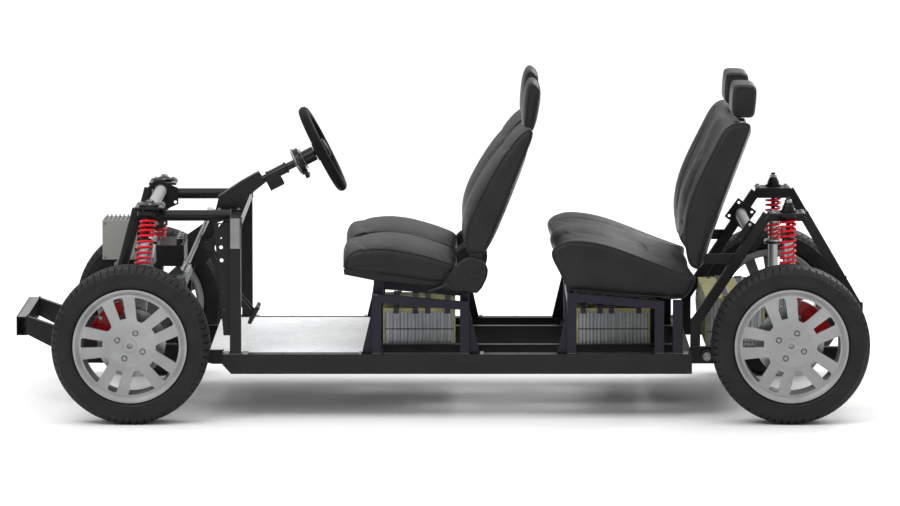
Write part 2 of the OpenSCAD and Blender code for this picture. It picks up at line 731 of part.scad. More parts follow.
// A hanging pedal: hub on the pedal pin, arm and ribbed pad
module pedal(y, pad_w) {
    pad = [-768, 350];
    from_mid() difference() {
        union() {
            rod_y(pedal_pin[0], pedal_pin[1], 15, y - 15, y + 15);
            slab(strip(pedal_pin, [-875, 470], 22), y - 5, y + 5);
            slab(strip([-878, 477], pad, 22), y - 5, y + 5);
            slab(strip([-782, 325], [-748, 385], 12), y - pad_w / 2, y + pad_w / 2);
        }
        rod_y(pedal_pin[0], pedal_pin[1], pin_r + fit, y - 20, y + 20);
    }
}
module brake_pedal() { color("#323234") pedal(-350, 90); }
module accelerator_pedal() { color("#323234") pedal(-245, 46); }

// ---- seats ---------------------------------------------------------------------------------

// Front cushion on its pan, with a recliner cover and pivot pin at each side
module front_cushion(side) {
    color("#39393b") from_mid() on_side(side) {
        slab([[-430, 537], [-434, 600], [-424, 620], [-400, 634], [-350, 646], [-277, 650], [-201, 643],
            [-126, 622], [-28, 588], [-30, 477], [-80, 485]],
            seat_y - cushion_half + 10, seat_y + cushion_half - 10);
        for (s = [-1, 1]) {
            inner = seat_y + s * cushion_half;
            y0 = min(inner, inner + s * cover_t);
            pin_y = inner - (s + 1) * 6;
            slab([[14, 583], [40, 589], [81, 577], [100, 542], [92, 504], [61, 457], [3, 459], [-70, 470],
                [-76, 486], [-31, 542]],
                y0, y0 + cover_t);
            rod_y(recline_at[0], recline_at[1], pin_r, pin_y, pin_y + 12);
            block([-60, min(inner, inner - s * 14), 490], [-34, max(inner, inner - s * 14), 530]);
        }
    }
}

// Front backrest with its headrest and two lugs on the pivot pins
module front_backrest(side) {
    half = cushion_half - 6;
    color("#39393b") from_mid() on_side(side) {
        slab([[20, 596], [10, 650], [10, 705], [34, 780], [85, 880], [150, 985], [205, 1042], [240, 1066],
            [262, 1058], [268, 1036], [227, 938], [153, 751], [92, 596]], seat_y - half, seat_y + half);
        slab([[226, 1056], [236, 1110], [242, 1190], [250, 1218], [262, 1226], [276, 1218], [294, 1199],
            [286, 1135], [266, 1030]], seat_y - 130, seat_y + 130);
        for (y = [seat_y - half - 4, seat_y + half - 6])
            difference() {
                union() {
                    rod_y(recline_at[0], recline_at[1], 24, y, y + 10);
                    slab([[28, 600], [27, 530], [73, 530], [82, 600]], y, y + 10);
                }
                rod_y(recline_at[0], recline_at[1], pin_r + fit, y - 5, y + 15);
            }
    }
}

// Recline lever on the door side of a front seat
module recline_lever(side) {
    y = seat_y + cushion_half + cover_t + 0.5;
    color("#1c1c1e") from_mid() on_side(side) {
        rod_y(-50, 487, 13, y, y + 8);
        rod([-50, y + 6.5, 487], [-118, y + 6.5, 462], 6);
    }
}

// Rear bench cushion across both rear stands
bench_half = 540;
module rear_cushions() {
    color("#3b3b3d") from_mid()
        slab([[391, 461], [371, 510], [331, 585], [331, 604], [345, 630], [402, 650], [477, 648], [552, 630],
            [626, 603], [739, 556], [843, 522], [866, 517], [862, 487], [832, 438], [814, 428], [743, 434],
            [601, 443], [419, 460]], -bench_half, bench_half);
}

// Rear backrest, one across the car, with the post holes of the headrests in its top
headrest_posts = [seat_y - 55, seat_y + 55];
module at_headrest() { translate([1040, 0, 1080]) rotate([0, headrest_lean, 0]) children(); }
module rear_backrests() {
    color("#3b3b3d") from_mid() difference() {
        slab([[862, 534], [832, 556], [818, 620], [812, 680], [820, 745], [838, 812], [871, 890], [910, 968],
            [948, 1040], [970, 1067], [1000, 1082], [1050, 1084], [1063, 1068], [1047, 1017], [989, 866],
            [939, 731], [900, 620], [880, 545]], -bench_half, bench_half);
        both_sides() for (y = headrest_posts)
            at_headrest() translate([-6, y, -110]) cylinder(h = 130, r = 6 + fit);
    }
}

// Block headrest on two posts
module rear_headrest(side) {
    color("#38383a") from_mid() on_side(side) at_headrest() {
        slab([[-48, 8], [-56, 117], [-49, 127], [14, 135], [27, 129], [34, 111], [38, 14]],
            seat_y - 125, seat_y + 125);
        for (y = headrest_posts)
            translate([-6, y, -100]) cylinder(h = 112, r = 6);
    }
}

// ---- the parts -----------------------------------------------------------------------------

side_sills();
centre_frame();
floor_panel();
front_frame();
dash_frame();
rear_frame();
seat_stands();
battery_modules();
battery_lids();
drive_unit();
power_electronics();
steering_rack_housing();
strut_tops();
steering_column();
tyre(FRONT, LEFT);  // tyre_front_left
tyre(FRONT, RIGHT);  // tyre_front_right
tyre(REAR, LEFT);  // tyre_rear_left
tyre(REAR, RIGHT);  // tyre_rear_right
rim(FRONT, LEFT);  // rim_front_left
rim(FRONT, RIGHT);  // rim_front_right
rim(REAR, LEFT);  // rim_rear_left
rim(REAR, RIGHT);  // rim_rear_right
brake_disc(FRONT, LEFT);  // brake_disc_front_left
brake_disc(FRONT, RIGHT);  // brake_disc_front_right
brake_disc(REAR, LEFT);  // brake_disc_rear_left
brake_disc(REAR, RIGHT);  // brake_disc_rear_right
strut(FRONT, LEFT);  // strut_front_left
strut(FRONT, RIGHT);  // strut_front_right
strut(REAR, LEFT);  // strut_rear_left
strut(REAR, RIGHT);  // strut_rear_right
caliper(FRONT, LEFT);  // caliper_front_left
caliper(FRONT, RIGHT);  // caliper_front_right
caliper(REAR, LEFT);  // caliper_rear_left
caliper(REAR, RIGHT);  // caliper_rear_right
spring(FRONT, LEFT);  // spring_front_left
spring(FRONT, RIGHT);  // spring_front_right
spring(REAR, LEFT);  // spring_rear_left
spring(REAR, RIGHT);  // spring_rear_right
lower_arm(LEFT);  // lower_arm_front_left
lower_arm(RIGHT);  // lower_arm_front_right
trailing_arm(LEFT);  // trailing_arm_left
trailing_arm(RIGHT);  // trailing_arm_right
rack_bar();
tie_rod(LEFT);  // tie_rod_left
tie_rod(RIGHT);  // tie_rod_right
steering_wheel();
intermediate_shaft();
indicator_stalk();
brake_pedal();
accelerator_pedal();
front_cushion(LEFT);  // front_cushion_left
front_cushion(RIGHT);  // front_cushion_right
front_backrest(LEFT);  // front_backrest_left
front_backrest(RIGHT);  // front_backrest_right
recline_lever(LEFT);  // recline_lever_left
recline_lever(RIGHT);  // recline_lever_right
rear_cushions();
rear_backrests();
rear_headrest(LEFT);  // rear_headrest_left
rear_headrest(RIGHT);  // rear_headrest_right
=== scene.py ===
"""Looks of the electric-car rolling chassis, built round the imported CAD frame."""

import math

import bpy
import bmesh
from mathutils import Matrix, Vector


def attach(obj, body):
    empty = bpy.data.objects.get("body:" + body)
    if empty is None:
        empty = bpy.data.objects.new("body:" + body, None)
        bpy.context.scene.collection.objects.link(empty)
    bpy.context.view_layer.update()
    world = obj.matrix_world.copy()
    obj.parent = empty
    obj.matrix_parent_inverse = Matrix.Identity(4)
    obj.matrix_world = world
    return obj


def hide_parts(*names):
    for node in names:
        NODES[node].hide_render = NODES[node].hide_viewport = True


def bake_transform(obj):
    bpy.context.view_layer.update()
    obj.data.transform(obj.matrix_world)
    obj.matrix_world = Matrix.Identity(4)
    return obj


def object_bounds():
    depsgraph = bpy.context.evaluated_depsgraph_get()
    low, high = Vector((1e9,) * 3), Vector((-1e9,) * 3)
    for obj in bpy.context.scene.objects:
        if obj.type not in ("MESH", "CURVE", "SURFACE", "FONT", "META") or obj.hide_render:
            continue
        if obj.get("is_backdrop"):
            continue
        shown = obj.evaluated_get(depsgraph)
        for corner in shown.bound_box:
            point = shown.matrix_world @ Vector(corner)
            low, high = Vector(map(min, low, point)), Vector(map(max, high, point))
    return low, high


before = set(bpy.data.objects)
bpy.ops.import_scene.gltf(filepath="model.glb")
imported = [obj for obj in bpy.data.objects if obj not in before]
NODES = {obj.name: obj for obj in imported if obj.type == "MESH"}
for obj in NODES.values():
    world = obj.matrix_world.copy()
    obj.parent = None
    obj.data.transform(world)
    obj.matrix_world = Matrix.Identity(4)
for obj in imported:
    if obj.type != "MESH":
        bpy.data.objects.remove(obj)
cad_low, cad_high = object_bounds()

MID_X = 0.079                                   # mid-wheelbase in the row frame, in metres
AXLE_X, TRACK_Y, AXLE_Z = 1200, 700, 288        # wheel centres, in millimetres from mid-wheelbase
SEAT_Y = 300
UP = (0, 0, 1)
SIDES = {"left": -1, "right": 1}
ENDS = {"front": -1, "rear": 1}
CORNERS = [(end, e, side, s) for end, e in ENDS.items() for side, s in SIDES.items()]


def at(x, y, z):
    """A place in millimetres from mid-wheelbase, as a point in the row frame."""
    return Vector((x / 1000 + MID_X, y / 1000, z / 1000))


def around_hub(e, s, r=0.0, degrees=0.0, y=0.0):
    """A point round the hub of one wheel; y is how far it stands out of the wheel plane."""
    a = math.radians(degrees)
    return at(e * AXLE_X, s * TRACK_Y, AXLE_Z) + Vector((r * math.cos(a), s * y, r * math.sin(a)))


def side_view(*points):
    """Points in x and z, in millimetres from mid-wheelbase, as an outline in metres."""
    return [(x / 1000 + MID_X, z / 1000) for x, z in points]


def reach(s, y0, y1):
    """The stretch from y0 to y1 in millimetres at one side, as its low and high y in metres."""
    return sorted((s * y0 / 1000, s * y1 / 1000))


# ---- camera, light and sky ----

# The camera stands 21 m beside the car and looks 6.1 degrees down
scene = bpy.context.scene
camera = bpy.data.objects.new("camera", bpy.data.cameras.new("camera"))
scene.collection.objects.link(camera)
camera.location = (MID_X, -21.198, 2.811)
camera.rotation_euler = (math.radians(90 - 6.1), 0, 0)
camera.data.lens = 227
camera.data.sensor_width = 36
camera.data.shift_x = -0.0119
camera.data.clip_end = 200
scene.camera = camera


def area_light(name, place, target, size, power):
    light = bpy.data.lights.new(name, "AREA")
    light.shape, light.size, light.size_y = "RECTANGLE", size[0], size[1]
    light.energy = power
    ob = bpy.data.objects.new(name, light)
    scene.collection.objects.link(ob)
    ob.location = place
    ob.rotation_euler = (Vector(target) - Vector(place)).to_track_quat("-Z", "Y").to_euler()


area_light("key", (-3.0, -5.0, 5.5), (0, 0, 0.5), (4, 2.5), 170)
area_light("rim", (4.0, 4.5, 4.0), (0, 0, 0.5), (4, 2), 190)
world = bpy.data.worlds.new("world")
scene.world = world
world.use_nodes = True
sky = world.node_tree
direction = sky.nodes.new("ShaderNodeSeparateXYZ")
sky.links.new(sky.nodes.new("ShaderNodeTexCoord").outputs["Generated"], direction.inputs[0])
height = sky.nodes.new("ShaderNodeMapRange")
for socket, value in (("From Min", 0.05), ("From Max", 0.75), ("To Min", 0.30), ("To Max", 1.5)):
    height.inputs[socket].default_value = value
sky.links.new(direction.outputs[2], height.inputs["Value"])
sky.links.new(height.outputs[0], sky.nodes["Background"].inputs[1])
sky.nodes["Background"].inputs[0].default_value = (1.0, 1.0, 1.0, 1)
scene.view_settings.view_transform = "Standard"


# ---- materials ----

class Finish:
    """A procedural material, put together from a few kinds of variation."""

    def __init__(self, name, color, rough, metal=0.0, coat=0.0, sheen=0.0, bevel=0.0):
        self.mat = bpy.data.materials.new(name)
        self.mat.use_nodes = True
        self.tree = self.mat.node_tree
        self.shader = self.tree.nodes["Principled BSDF"]
        self.place = self.new("ShaderNodeTexCoord").outputs["Object"]
        self.base = color
        self.set("Base Color", (*color, 1))
        self.set("Roughness", rough)
        self.set("Metallic", metal)
        self.set("Coat Weight", coat)
        self.set("Sheen Weight", sheen)
        self.set("Specular IOR Level", 0.5 if metal > 0.3 else 0.2)
        self.rough = rough
        self.normal = None
        if bevel:
            node = self.new("ShaderNodeBevel")
            node.samples = 4
            node.inputs["Radius"].default_value = bevel
            self.normal = node.outputs[0]
            self.link(self.normal, self.shader.inputs["Normal"])

    def new(self, kind):
        return self.tree.nodes.new(kind)

    def link(self, a, b):
        self.tree.links.new(a, b)

    def set(self, name, value):
        self.shader.inputs[name].default_value = value

    def math(self, op, a, b=0.0):
        node = self.new("ShaderNodeMath")
        node.operation = op
        for i, v in enumerate((a, b)):
            if isinstance(v, (int, float)):
                node.inputs[i].default_value = v
            else:
                self.link(v, node.inputs[i])
        return node.outputs[0]

    def noise(self, scale, detail=4, stretch=None):
        place = self.place
        if stretch:
            mapping = self.new("ShaderNodeMapping")
            mapping.inputs["Scale"].default_value = stretch
            self.link(place, mapping.inputs[0])
            place = mapping.outputs[0]
        node = self.new("ShaderNodeTexNoise")
        node.inputs["Scale"].default_value = scale
        node.inputs["Detail"].default_value = detail
        self.link(place, node.inputs["Vector"])
        return node.outputs["Fac"]

    def cells(self, scale, out="Distance"):
        node = self.new("ShaderNodeTexVoronoi")
        node.inputs["Scale"].default_value = scale
        self.link(self.place, node.inputs["Vector"])
        return node.outputs[out]

    def ramp(self, value, stops):
        node = self.new("ShaderNodeValToRGB")
        self.link(value, node.inputs[0])
        ramp = node.color_ramp
        ramp.elements[0].position, ramp.elements[1].position = stops[0][0], stops[-1][0]
        for s in stops[1:-1]:
            ramp.elements.new(s[0])
        for element, (_, c) in zip(ramp.elements, stops):
            element.color = (*c, 1) if isinstance(c, tuple) else (c, c, c, 1)
        return node.outputs[0]

    def xyz(self):
        node = self.new("ShaderNodeSeparateXYZ")
        self.link(self.place, node.inputs[0])
        return node.outputs

    def inside(self, low, high):
        """1 inside a box of the row frame, 0 outside it."""
        out, total = self.xyz(), None
        for i in range(3):
            for op, v in (("GREATER_THAN", low[i]), ("LESS_THAN", high[i])):
                step = self.math(op, out[i], v)
                total = step if total is None else self.math("MULTIPLY", total, step)
        return total

    def paint(self, value):
        self.link(value, self.shader.inputs["Base Color"])
        return self

    def patch(self, low, high, color):
        """Another colour inside a box given in millimetres from mid-wheelbase."""
        under = self.shader.inputs["Base Color"].links[0].from_socket
        return self.paint(self.mix(self.inside(at(*low), at(*high)), under, color))

    def mix(self, factor, a, b):
        node = self.new("ShaderNodeMix")
        node.data_type = "RGBA"
        self.link(factor, node.inputs[0])
        for value, socket in ((a, node.inputs[6]), (b, node.inputs[7])):
            if isinstance(value, tuple):
                socket.default_value = (*value, 1)
            else:
                self.link(value, socket)
        return node.outputs[2]

    def mottle(self, scale, amount, detail=5):
        """Light and dark patches of the base colour."""
        shade = [tuple(min(1, c * k) for c in self.base) for k in (1 - amount, 1, 1 + amount)]
        return self.paint(self.ramp(self.noise(scale, detail), list(zip((0.3, 0.5, 0.72), shade))))

    def uneven(self, scale, spread, detail=5):
        """Roughness that changes from place to place."""
        swing = self.math("MULTIPLY", self.noise(scale, detail), 2 * spread)
        self.link(self.math("ADD", swing, self.rough - spread), self.shader.inputs["Roughness"])
        return self

    def bump(self, height, depth, strength=1.0):
        node = self.new("ShaderNodeBump")
        node.inputs["Distance"].default_value = depth
        node.inputs["Strength"].default_value = strength
        self.link(height, node.inputs["Height"])
        if self.normal is not None:
            self.link(self.normal, node.inputs["Normal"])
        self.normal = node.outputs[0]
        self.link(self.normal, self.shader.inputs["Normal"])
        return self


def powder(name, color, rough=0.42, bevel=0.0022):
    """Powder coat: a fine orange peel, dull patches and rubbed spots."""
    f = Finish(name, color, rough, 0.0, 0.03, bevel=bevel)
    f.mottle(7, 0.22).uneven(18, 0.1)
    return f.bump(f.noise(620, 2), 0.0003, 0.5).bump(f.noise(9, 3), 0.002, 0.12)


def metal(name, color, rough, grain=(1, 1, 1), scale=60, depth=0.0002, bevel=0.0015, metallic=1.0):
    f = Finish(name, color, rough, metallic, bevel=bevel)
    f.mottle(11, 0.12).uneven(25, 0.09)
    return f.bump(f.noise(scale, 6, grain), depth, 0.6)


def leather(name, color, rough=0.42):
    """Fine pebbled grain with soft creases and worn, glossier patches."""
    f = Finish(name, color, rough, 0.0, 0.0, 0.02)
    f.set("Sheen Roughness", 0.45)
    f.mottle(9, 0.25).uneven(14, 0.1)
    f.bump(f.noise(16, 5), 0.006, 0.25)
    return f.bump(f.cells(430), 0.0007, 0.55)


def plastic(name, color, rough=0.5, grain=900):
    f = Finish(name, color, rough, bevel=0.001)
    f.mottle(20, 0.12).uneven(30, 0.06)
    return f.bump(f.noise(grain, 2), 0.0002, 0.5)


black = powder("frame_black", (0.0085, 0.0085, 0.0092), 0.34)
galvanised = Finish("galvanised_sheet", (0.90, 0.91, 0.92), 0.42, 0.15)
galvanised.paint(galvanised.ramp(galvanised.cells(38, "Color"), [
    (0.1, (0.84, 0.85, 0.86)), (0.5, (0.91, 0.92, 0.93)), (0.9, (0.95, 0.96, 0.97))]))
galvanised.uneven(30, 0.12).bump(galvanised.noise(140, 4), 0.0003, 0.4)

stand_paint = powder("stand_paint", (0.009, 0.0078, 0.016), 0.36)
black.patch((-1180, -392, 715), (-1115, 392, 770), (0.34, 0.345, 0.35))
black.patch((1045, -413, 626), (1097, 413, 678), (0.34, 0.345, 0.35))
# Painted highlight: the top face of the front beam, a 1.6 mm band at z 342.4 to 344, is painted light grey
black.patch((-1640, -330, 342.4), (-1600, 330, 344), (0.20, 0.20, 0.205))
black.patch((-805, -562, 690), (-800, 562, 738), (0.10, 0.10, 0.104))
plate_grey = powder("plate_grey", (0.22, 0.223, 0.23), 0.38)
electronics_plate = metal("electronics_plate", (0.24, 0.245, 0.25), 0.4, scale=300, metallic=0.6)
module_grey = plastic("module_grey", (0.44, 0.455, 0.465), 0.5)
# Painted shade: every 13.5 mm along the pack a stripe is mixed towards dark grey, standing in for the shade
# in the grooves between the cell ribs; the same wave also bumps the face
wave = module_grey.math("SINE", module_grey.math("MULTIPLY", module_grey.xyz()[0], 2 * math.pi / 0.0135))
dark = module_grey.math("MULTIPLY", module_grey.math("GREATER_THAN", wave, 0.72), 0.65)
under = module_grey.shader.inputs["Base Color"].links[0].from_socket
module_grey.paint(module_grey.mix(dark, under, (0.16, 0.166, 0.172)))
module_grey.bump(wave, 0.0012, 0.8).patch((-400, -400, 288), (1400, 400, 293), (0.11, 0.11, 0.115))
lid_yellow = Finish("lid_yellow", (0.56, 0.51, 0.22), 0.5, bevel=0.002)
lid_yellow.paint(lid_yellow.ramp(lid_yellow.noise(26, 8), [
    (0.28, (0.27, 0.255, 0.13)), (0.46, (0.43, 0.39, 0.16)), (0.60, (0.50, 0.47, 0.22)),
    (0.8, (0.57, 0.55, 0.36))]))
lid_yellow.uneven(40, 0.12).bump(lid_yellow.noise(300, 3), 0.0005, 0.5)
cast_alloy = metal("cast_alloy", (0.13, 0.135, 0.14), 0.48, scale=420, depth=0.0008, metallic=0.8)
electronics_grey = metal("electronics_grey", (0.015, 0.015, 0.016), 0.42, scale=500, metallic=0.3)
electronics_grey.patch((-1370, 190, 480), (-1230, 380, 660), (0.28, 0.28, 0.265))
mount_black = powder("mount_black", (0.008, 0.008, 0.0085), 0.28)
polished = metal("polished_steel", (0.52, 0.53, 0.54), 0.28, (1, 8, 1), 90)
rim_silver = metal("rim_silver", (0.27, 0.272, 0.275), 0.38, scale=260, depth=0.0003, metallic=0.5)
rim_silver.set("Coat Weight", 0.15)
disc_iron = metal("disc_iron", (0.33, 0.34, 0.35), 0.36, (1, 40, 1), 60)
strut_silver = metal("strut_silver", (0.46, 0.47, 0.48), 0.36, (6, 6, 1), 120, metallic=0.85)
caliper_red = powder("caliper_red", (0.52, 0.010, 0.014), 0.32)
spring_red = powder("spring_red", (0.66, 0.006, 0.016), 0.3, 0)
arm_black = powder("arm_black", (0.016, 0.016, 0.018), 0.42)
seat_leather = leather("seat_leather", (0.0125, 0.0125, 0.0130), 0.40)
# A lighter, glossier copy of the seat leather that paints a highlight along the seat piping; it is also the
# thread of the steering-wheel stitching
highlight_leather = leather("highlight_leather", (0.020, 0.020, 0.021), 0.34)
trim_plastic = plastic("trim_plastic", (0.011, 0.011, 0.012), 0.38)
wheel_grip = leather("wheel_grip", (0.005, 0.005, 0.0054), 0.55)
wheel_grip.set("Specular IOR Level", 0.08)
pedal_black = powder("pedal_black", (0.02, 0.02, 0.021), 0.4)
zinc = metal("zinc_bolt", (0.26, 0.265, 0.27), 0.34, scale=200)
weld = metal("weld_bead", (0.045, 0.045, 0.048), 0.4, scale=300, depth=0.0006, metallic=0.4)
strap_grey = Finish("strap_web", (0.07, 0.062, 0.085), 0.65, sheen=0.1)
strap_grey.mottle(60, 0.15).bump(strap_grey.noise(700, 2, (1, 0.2, 1)), 0.0006, 0.8)
tyre_rubber = Finish("tyre_rubber", (0.0105, 0.0105, 0.011), 0.55)
tyre_rubber.mottle(14, 0.3).uneven(24, 0.1).bump(tyre_rubber.noise(520, 3), 0.0005, 0.6)

FINISHES = {
    "side_sills": black, "centre_frame": black, "front_frame": black, "dash_frame": black,
    "rear_frame": black, "floor_panel": galvanised, "seat_stands": stand_paint,
    "battery_modules": module_grey, "battery_lids": lid_yellow, "drive_unit": cast_alloy,
    "power_electronics": electronics_grey, "steering_rack_housing": cast_alloy,
    "strut_tops": mount_black, "steering_column": mount_black, "rack_bar": polished,
    "intermediate_shaft": polished, "indicator_stalk": trim_plastic, "steering_wheel": wheel_grip,
    "brake_pedal": pedal_black, "accelerator_pedal": pedal_black}
for part, finish in (("rim", rim_silver), ("brake_disc", disc_iron), ("strut", strut_silver),
                     ("caliper", caliper_red)):
    FINISHES.update({f"{part}_{end}_{side}": finish for end, e, side, s in CORNERS})
for part, finish in (("lower_arm_front", arm_black), ("trailing_arm", arm_black), ("tie_rod", arm_black),
                     ("recline_lever", trim_plastic)):
    FINISHES.update({f"{part}_{side}": finish for side in SIDES})
for node, finish in FINISHES.items():
    NODES[node].data.materials.clear()
    NODES[node].data.materials.append(finish.mat)


# ---- mesh helpers ----

def make(name, points, faces, finish):
    """A smooth mesh with its faces turned outward."""
    mesh = bpy.data.meshes.new(name)
    mesh.from_pydata([tuple(p) for p in points], [], faces)
    mesh.validate()
    mesh.materials.append(finish.mat)
    mesh.polygons.foreach_set("use_smooth", [True] * len(mesh.polygons))
    bm = bmesh.new()
    bm.from_mesh(mesh)
    bmesh.ops.recalc_face_normals(bm, faces=bm.faces)
    bm.to_mesh(mesh)
    bm.free()
    ob = bpy.data.objects.new(name, mesh)
    scene.collection.objects.link(ob)
    return ob


def smooth_by_angle(ob, angle=35):
    """Flat faces stay flat and round ones round: edges sharper than the angle are marked sharp."""
    bm = bmesh.new()
    bm.from_mesh(ob.data)
    for edge in bm.edges:
        if len(edge.link_faces) == 2 and edge.calc_face_angle(0) > math.radians(angle):
            edge.smooth = False
    bm.to_mesh(ob.data)
    bm.free()


def turn_to(axis):
    """The rotation that takes the upright to an axis."""
    return Vector(UP).rotation_difference(Vector(axis).normalized()).to_matrix()


class Parts:
    """Many small rigid shapes gathered into one piece."""

    def __init__(self):
        self.points, self.faces = [], []

    def add(self, points, faces):
        n = len(self.points)
        self.points += [Vector(p) for p in points]
        self.faces += [[n + i for i in f] for f in faces]

    def turned(self, outline, place, axis, sides=24):
        """Outline of (radius, height) pairs, in millimetres, turned about an axis through a place."""
        rot = turn_to(axis)
        pts, faces, n = [], [], len(outline)
        for k in range(sides):
            a = 2 * math.pi * k / sides
            for r, h in outline:
                pts.append(Vector(place) + rot @ Vector((r * math.cos(a), r * math.sin(a), h)) / 1000)
        for k in range(sides):
            m = (k + 1) % sides
            for i in range(n - 1):
                faces.append([k * n + i, m * n + i, m * n + i + 1, k * n + i + 1])
        faces.append([k * n for k in reversed(range(sides))])
        faces.append([k * n + n - 1 for k in range(sides)])
        self.add(pts, faces)

    def bolt(self, place, axis, r, washer=True):
        """Hexagon head on a washer, chamfered on top; r is in millimetres."""
        h = r * 0.75
        if washer:
            self.turned([(r * 1.5, -0.5), (r * 1.55, 0.6), (r * 1.45, 1.6)], place, axis)
        top = Vector(place) + Vector(axis).normalized() * 0.0015
        self.turned([(r * 1.15, 0), (r * 1.15, h * 0.85), (r * 0.98, h), (r * 0.3, h * 0.97)], top, axis, 6)

    def tube(self, path, r, sides=12, closed=False, wave=0.0, pitch=0.004):
        """Round tube along points; wave makes the ripples of a weld bead."""
        path = [Vector(p) for p in path]
        pts, faces, n = [], [], len(path)
        up = Vector(UP)
        along = 0.0
        for i, p in enumerate(path):
            a = path[i - 1] if i or closed else path[0]
            b = path[(i + 1) % n] if closed or i < n - 1 else path[-1]
            t = (b - a).normalized()
            if i == 0:
                up = t.orthogonal().normalized()
            up = (up - t * up.dot(t)).normalized()
            other = t.cross(up)
            along += (p - a).length if i else 0
            q = r * (1 + wave * math.sin(2 * math.pi * along / pitch))
            for j in range(sides):
                c = 2 * math.pi * j / sides
                pts.append(p + up * (q * math.cos(c)) + other * (q * math.sin(c)))
        for i in range(n if closed else n - 1):
            m = (i + 1) % n
            for j in range(sides):
                k = (j + 1) % sides
                faces.append([i * sides + j, i * sides + k, m * sides + k, m * sides + j])
        if not closed:
            faces.append(list(reversed(range(sides))))
            faces.append([(n - 1) * sides + j for j in range(sides)])
        self.add(pts, faces)

    def bead(self, a, b, r=0.004):
        """Weld bead between two points."""
        a, b = Vector(a), Vector(b)
        n = max(4, int((b - a).length / 0.0011))
        self.tube([a.lerp(b, i / n) for i in range(n + 1)], r, 8, wave=0.16)

    def ring_bead(self, centre, axis, radius, r=0.004):
        rot = turn_to(axis)
        n = max(24, int(2 * math.pi * radius / 0.0012))
        self.tube([Vector(centre) + rot @ Vector((radius * math.cos(2 * math.pi * i / n),
                   radius * math.sin(2 * math.pi * i / n), 0)) for i in range(n)], r, 8, True, 0.16)

    def plate(self, outline, low, high, axis="y", round_edge=0.0015):
        """Outline in the two other axes, thickened along an axis, with a small chamfer."""
        order = {"x": (1, 2, 0), "y": (0, 2, 1), "z": (0, 1, 2)}[axis]
        centre = [sum(p[i] for p in outline) / len(outline) for i in (0, 1)]
        rings = []
        for h, inset in ((low, round_edge), (low + round_edge, 0),
                         (high - round_edge, 0), (high, round_edge)):
            ring = []
            for p in outline:
                d = Vector((p[0] - centre[0], p[1] - centre[1]))
                k = max(0, 1 - inset / max(d.length, 1e-6))
                v = [0, 0, 0]
                v[order[0]], v[order[1]], v[order[2]] = centre[0] + d.x * k, centre[1] + d.y * k, h
                ring.append(v)
            rings.append(ring)
        n = len(outline)
        faces = [[i * n + j, i * n + (j + 1) % n, (i + 1) * n + (j + 1) % n, (i + 1) * n + j]
                 for i in range(3) for j in range(n)]
        self.add([p for ring in rings for p in ring],
                 faces + [list(reversed(range(n))), [3 * n + j for j in range(n)]])

    def brick(self, low, high, chamfer=0.002):
        """Box with chamfered upright edges."""
        c, (x0, y0, z0), (x1, y1, z1) = chamfer, low, high
        self.plate([(x0 + c, y0), (x1 - c, y0), (x1, y0 + c), (x1, y1 - c), (x1 - c, y1), (x0 + c, y1),
                    (x0, y1 - c), (x0, y0 + c)], z0, z1, "z", min(c, (z1 - z0) / 3))

    def build(self, name, finish, body, slot, angle=35):
        ob = make(name, self.points, self.faces, finish)
        smooth_by_angle(ob, angle)
        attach(ob, body)
        return ob


# ---- tyres ----

def tyre_outline():
    """Closed outline of the tyre in radius and width, in millimetres, from bead to bead."""
    side = [(190.5, 59), (190.5, 77), (207.6, 77.5), (212, 83), (216, 87), (219, 88.2), (220, 89.6),
            (221.5, 89.8), (222.5, 88.9), (232, 91), (240, 91.8), (248, 92), (256, 91.4), (262, 90.2),
            (264, 91), (266, 90.8), (267.5, 88.2), (272, 84.6), (276.5, 80), (280, 75.8), (283, 71.5),
            (285, 67), (286, 62)]
    tread = [(286.4, 58)]
    for w in (48, 47.3, 40.7, 40, 30, 19, 18.3, 11.7, 11, 0):
        tread.append((288 - 1.6 * (w / 58) ** 2, w))
    outer = side + tread
    outer += [(r, -w) for r, w in reversed(outer[:-1])]
    inner = [(200, 62), (218, 76), (245, 81), (264, 75), (274, 62), (274, 0)]
    return outer, [(r, -w) for r, w in inner] + [(r, w) for r, w in reversed(inner[:-1])]


def tyre_mesh():
    """Tread blocks and sipes cut into the outline, one pitch after the other."""
    outer, inner = tyre_outline()
    outline = outer + inner
    pitch_n = 66
    steps = [0, 0.035, 0.20, 0.235, 0.5, 0.535, 0.575, 0.61, 0.8]
    points, faces = [], []
    for k in range(pitch_n):
        for s in steps:
            for i, (r, w) in enumerate(outline):
                skew = 0.0
                if i < len(outer) and r > 262:
                    groove = abs(abs(w) - 44) < 3.5 or abs(abs(w) - 15) < 3.5
                    notch = 0.03 < s < 0.21
                    sipe = 0.53 < s < 0.58
                    if abs(w) > 50:
                        if notch and r > 268:
                            r -= 5.5 if abs(w) < 80 else 4
                            w *= 0.985
                        skew = 0.16 * (abs(w) - 50) / 40
                    elif groove:
                        r -= 7
                    elif sipe and abs(w) > 20:
                        r -= 4
                    elif notch and 19 < abs(w) < 40:
                        r -= 5
                    if abs(w) <= 50:
                        skew = 0.5 * abs(w) / 50 * (1 if w > 0 else 0.6)
                a = 2 * math.pi * (k + s + skew) / pitch_n
                points.append((r / 1000 * math.cos(a), w / 1000, r / 1000 * math.sin(a)))
    n, total = len(outline), pitch_n * len(steps)
    for k in range(total):
        m = (k + 1) % total
        for i in range(n):
            j = (i + 1) % n
            faces.append([k * n + i, k * n + j, m * n + j, m * n + i])
    ob = make("tyre_pattern", points, faces, tyre_rubber)
    smooth_by_angle(ob, 40)
    mesh = ob.data
    bpy.data.objects.remove(ob)
    return mesh


tyre_data = tyre_mesh()
for end, e, side, s in CORNERS:
    tyre = bpy.data.objects.new(f"tread_{end}_{side}", tyre_data.copy())
    tyre.data.transform(Matrix.Rotation(0.3 * e + 0.2 * s, 4, "Y"))
    scene.collection.objects.link(tyre)
    tyre.location = around_hub(e, s)
    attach(tyre, f"wheel_{end}_{side}")
    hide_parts(f"tyre_{end}_{side}")


# ---- wheel fittings ----

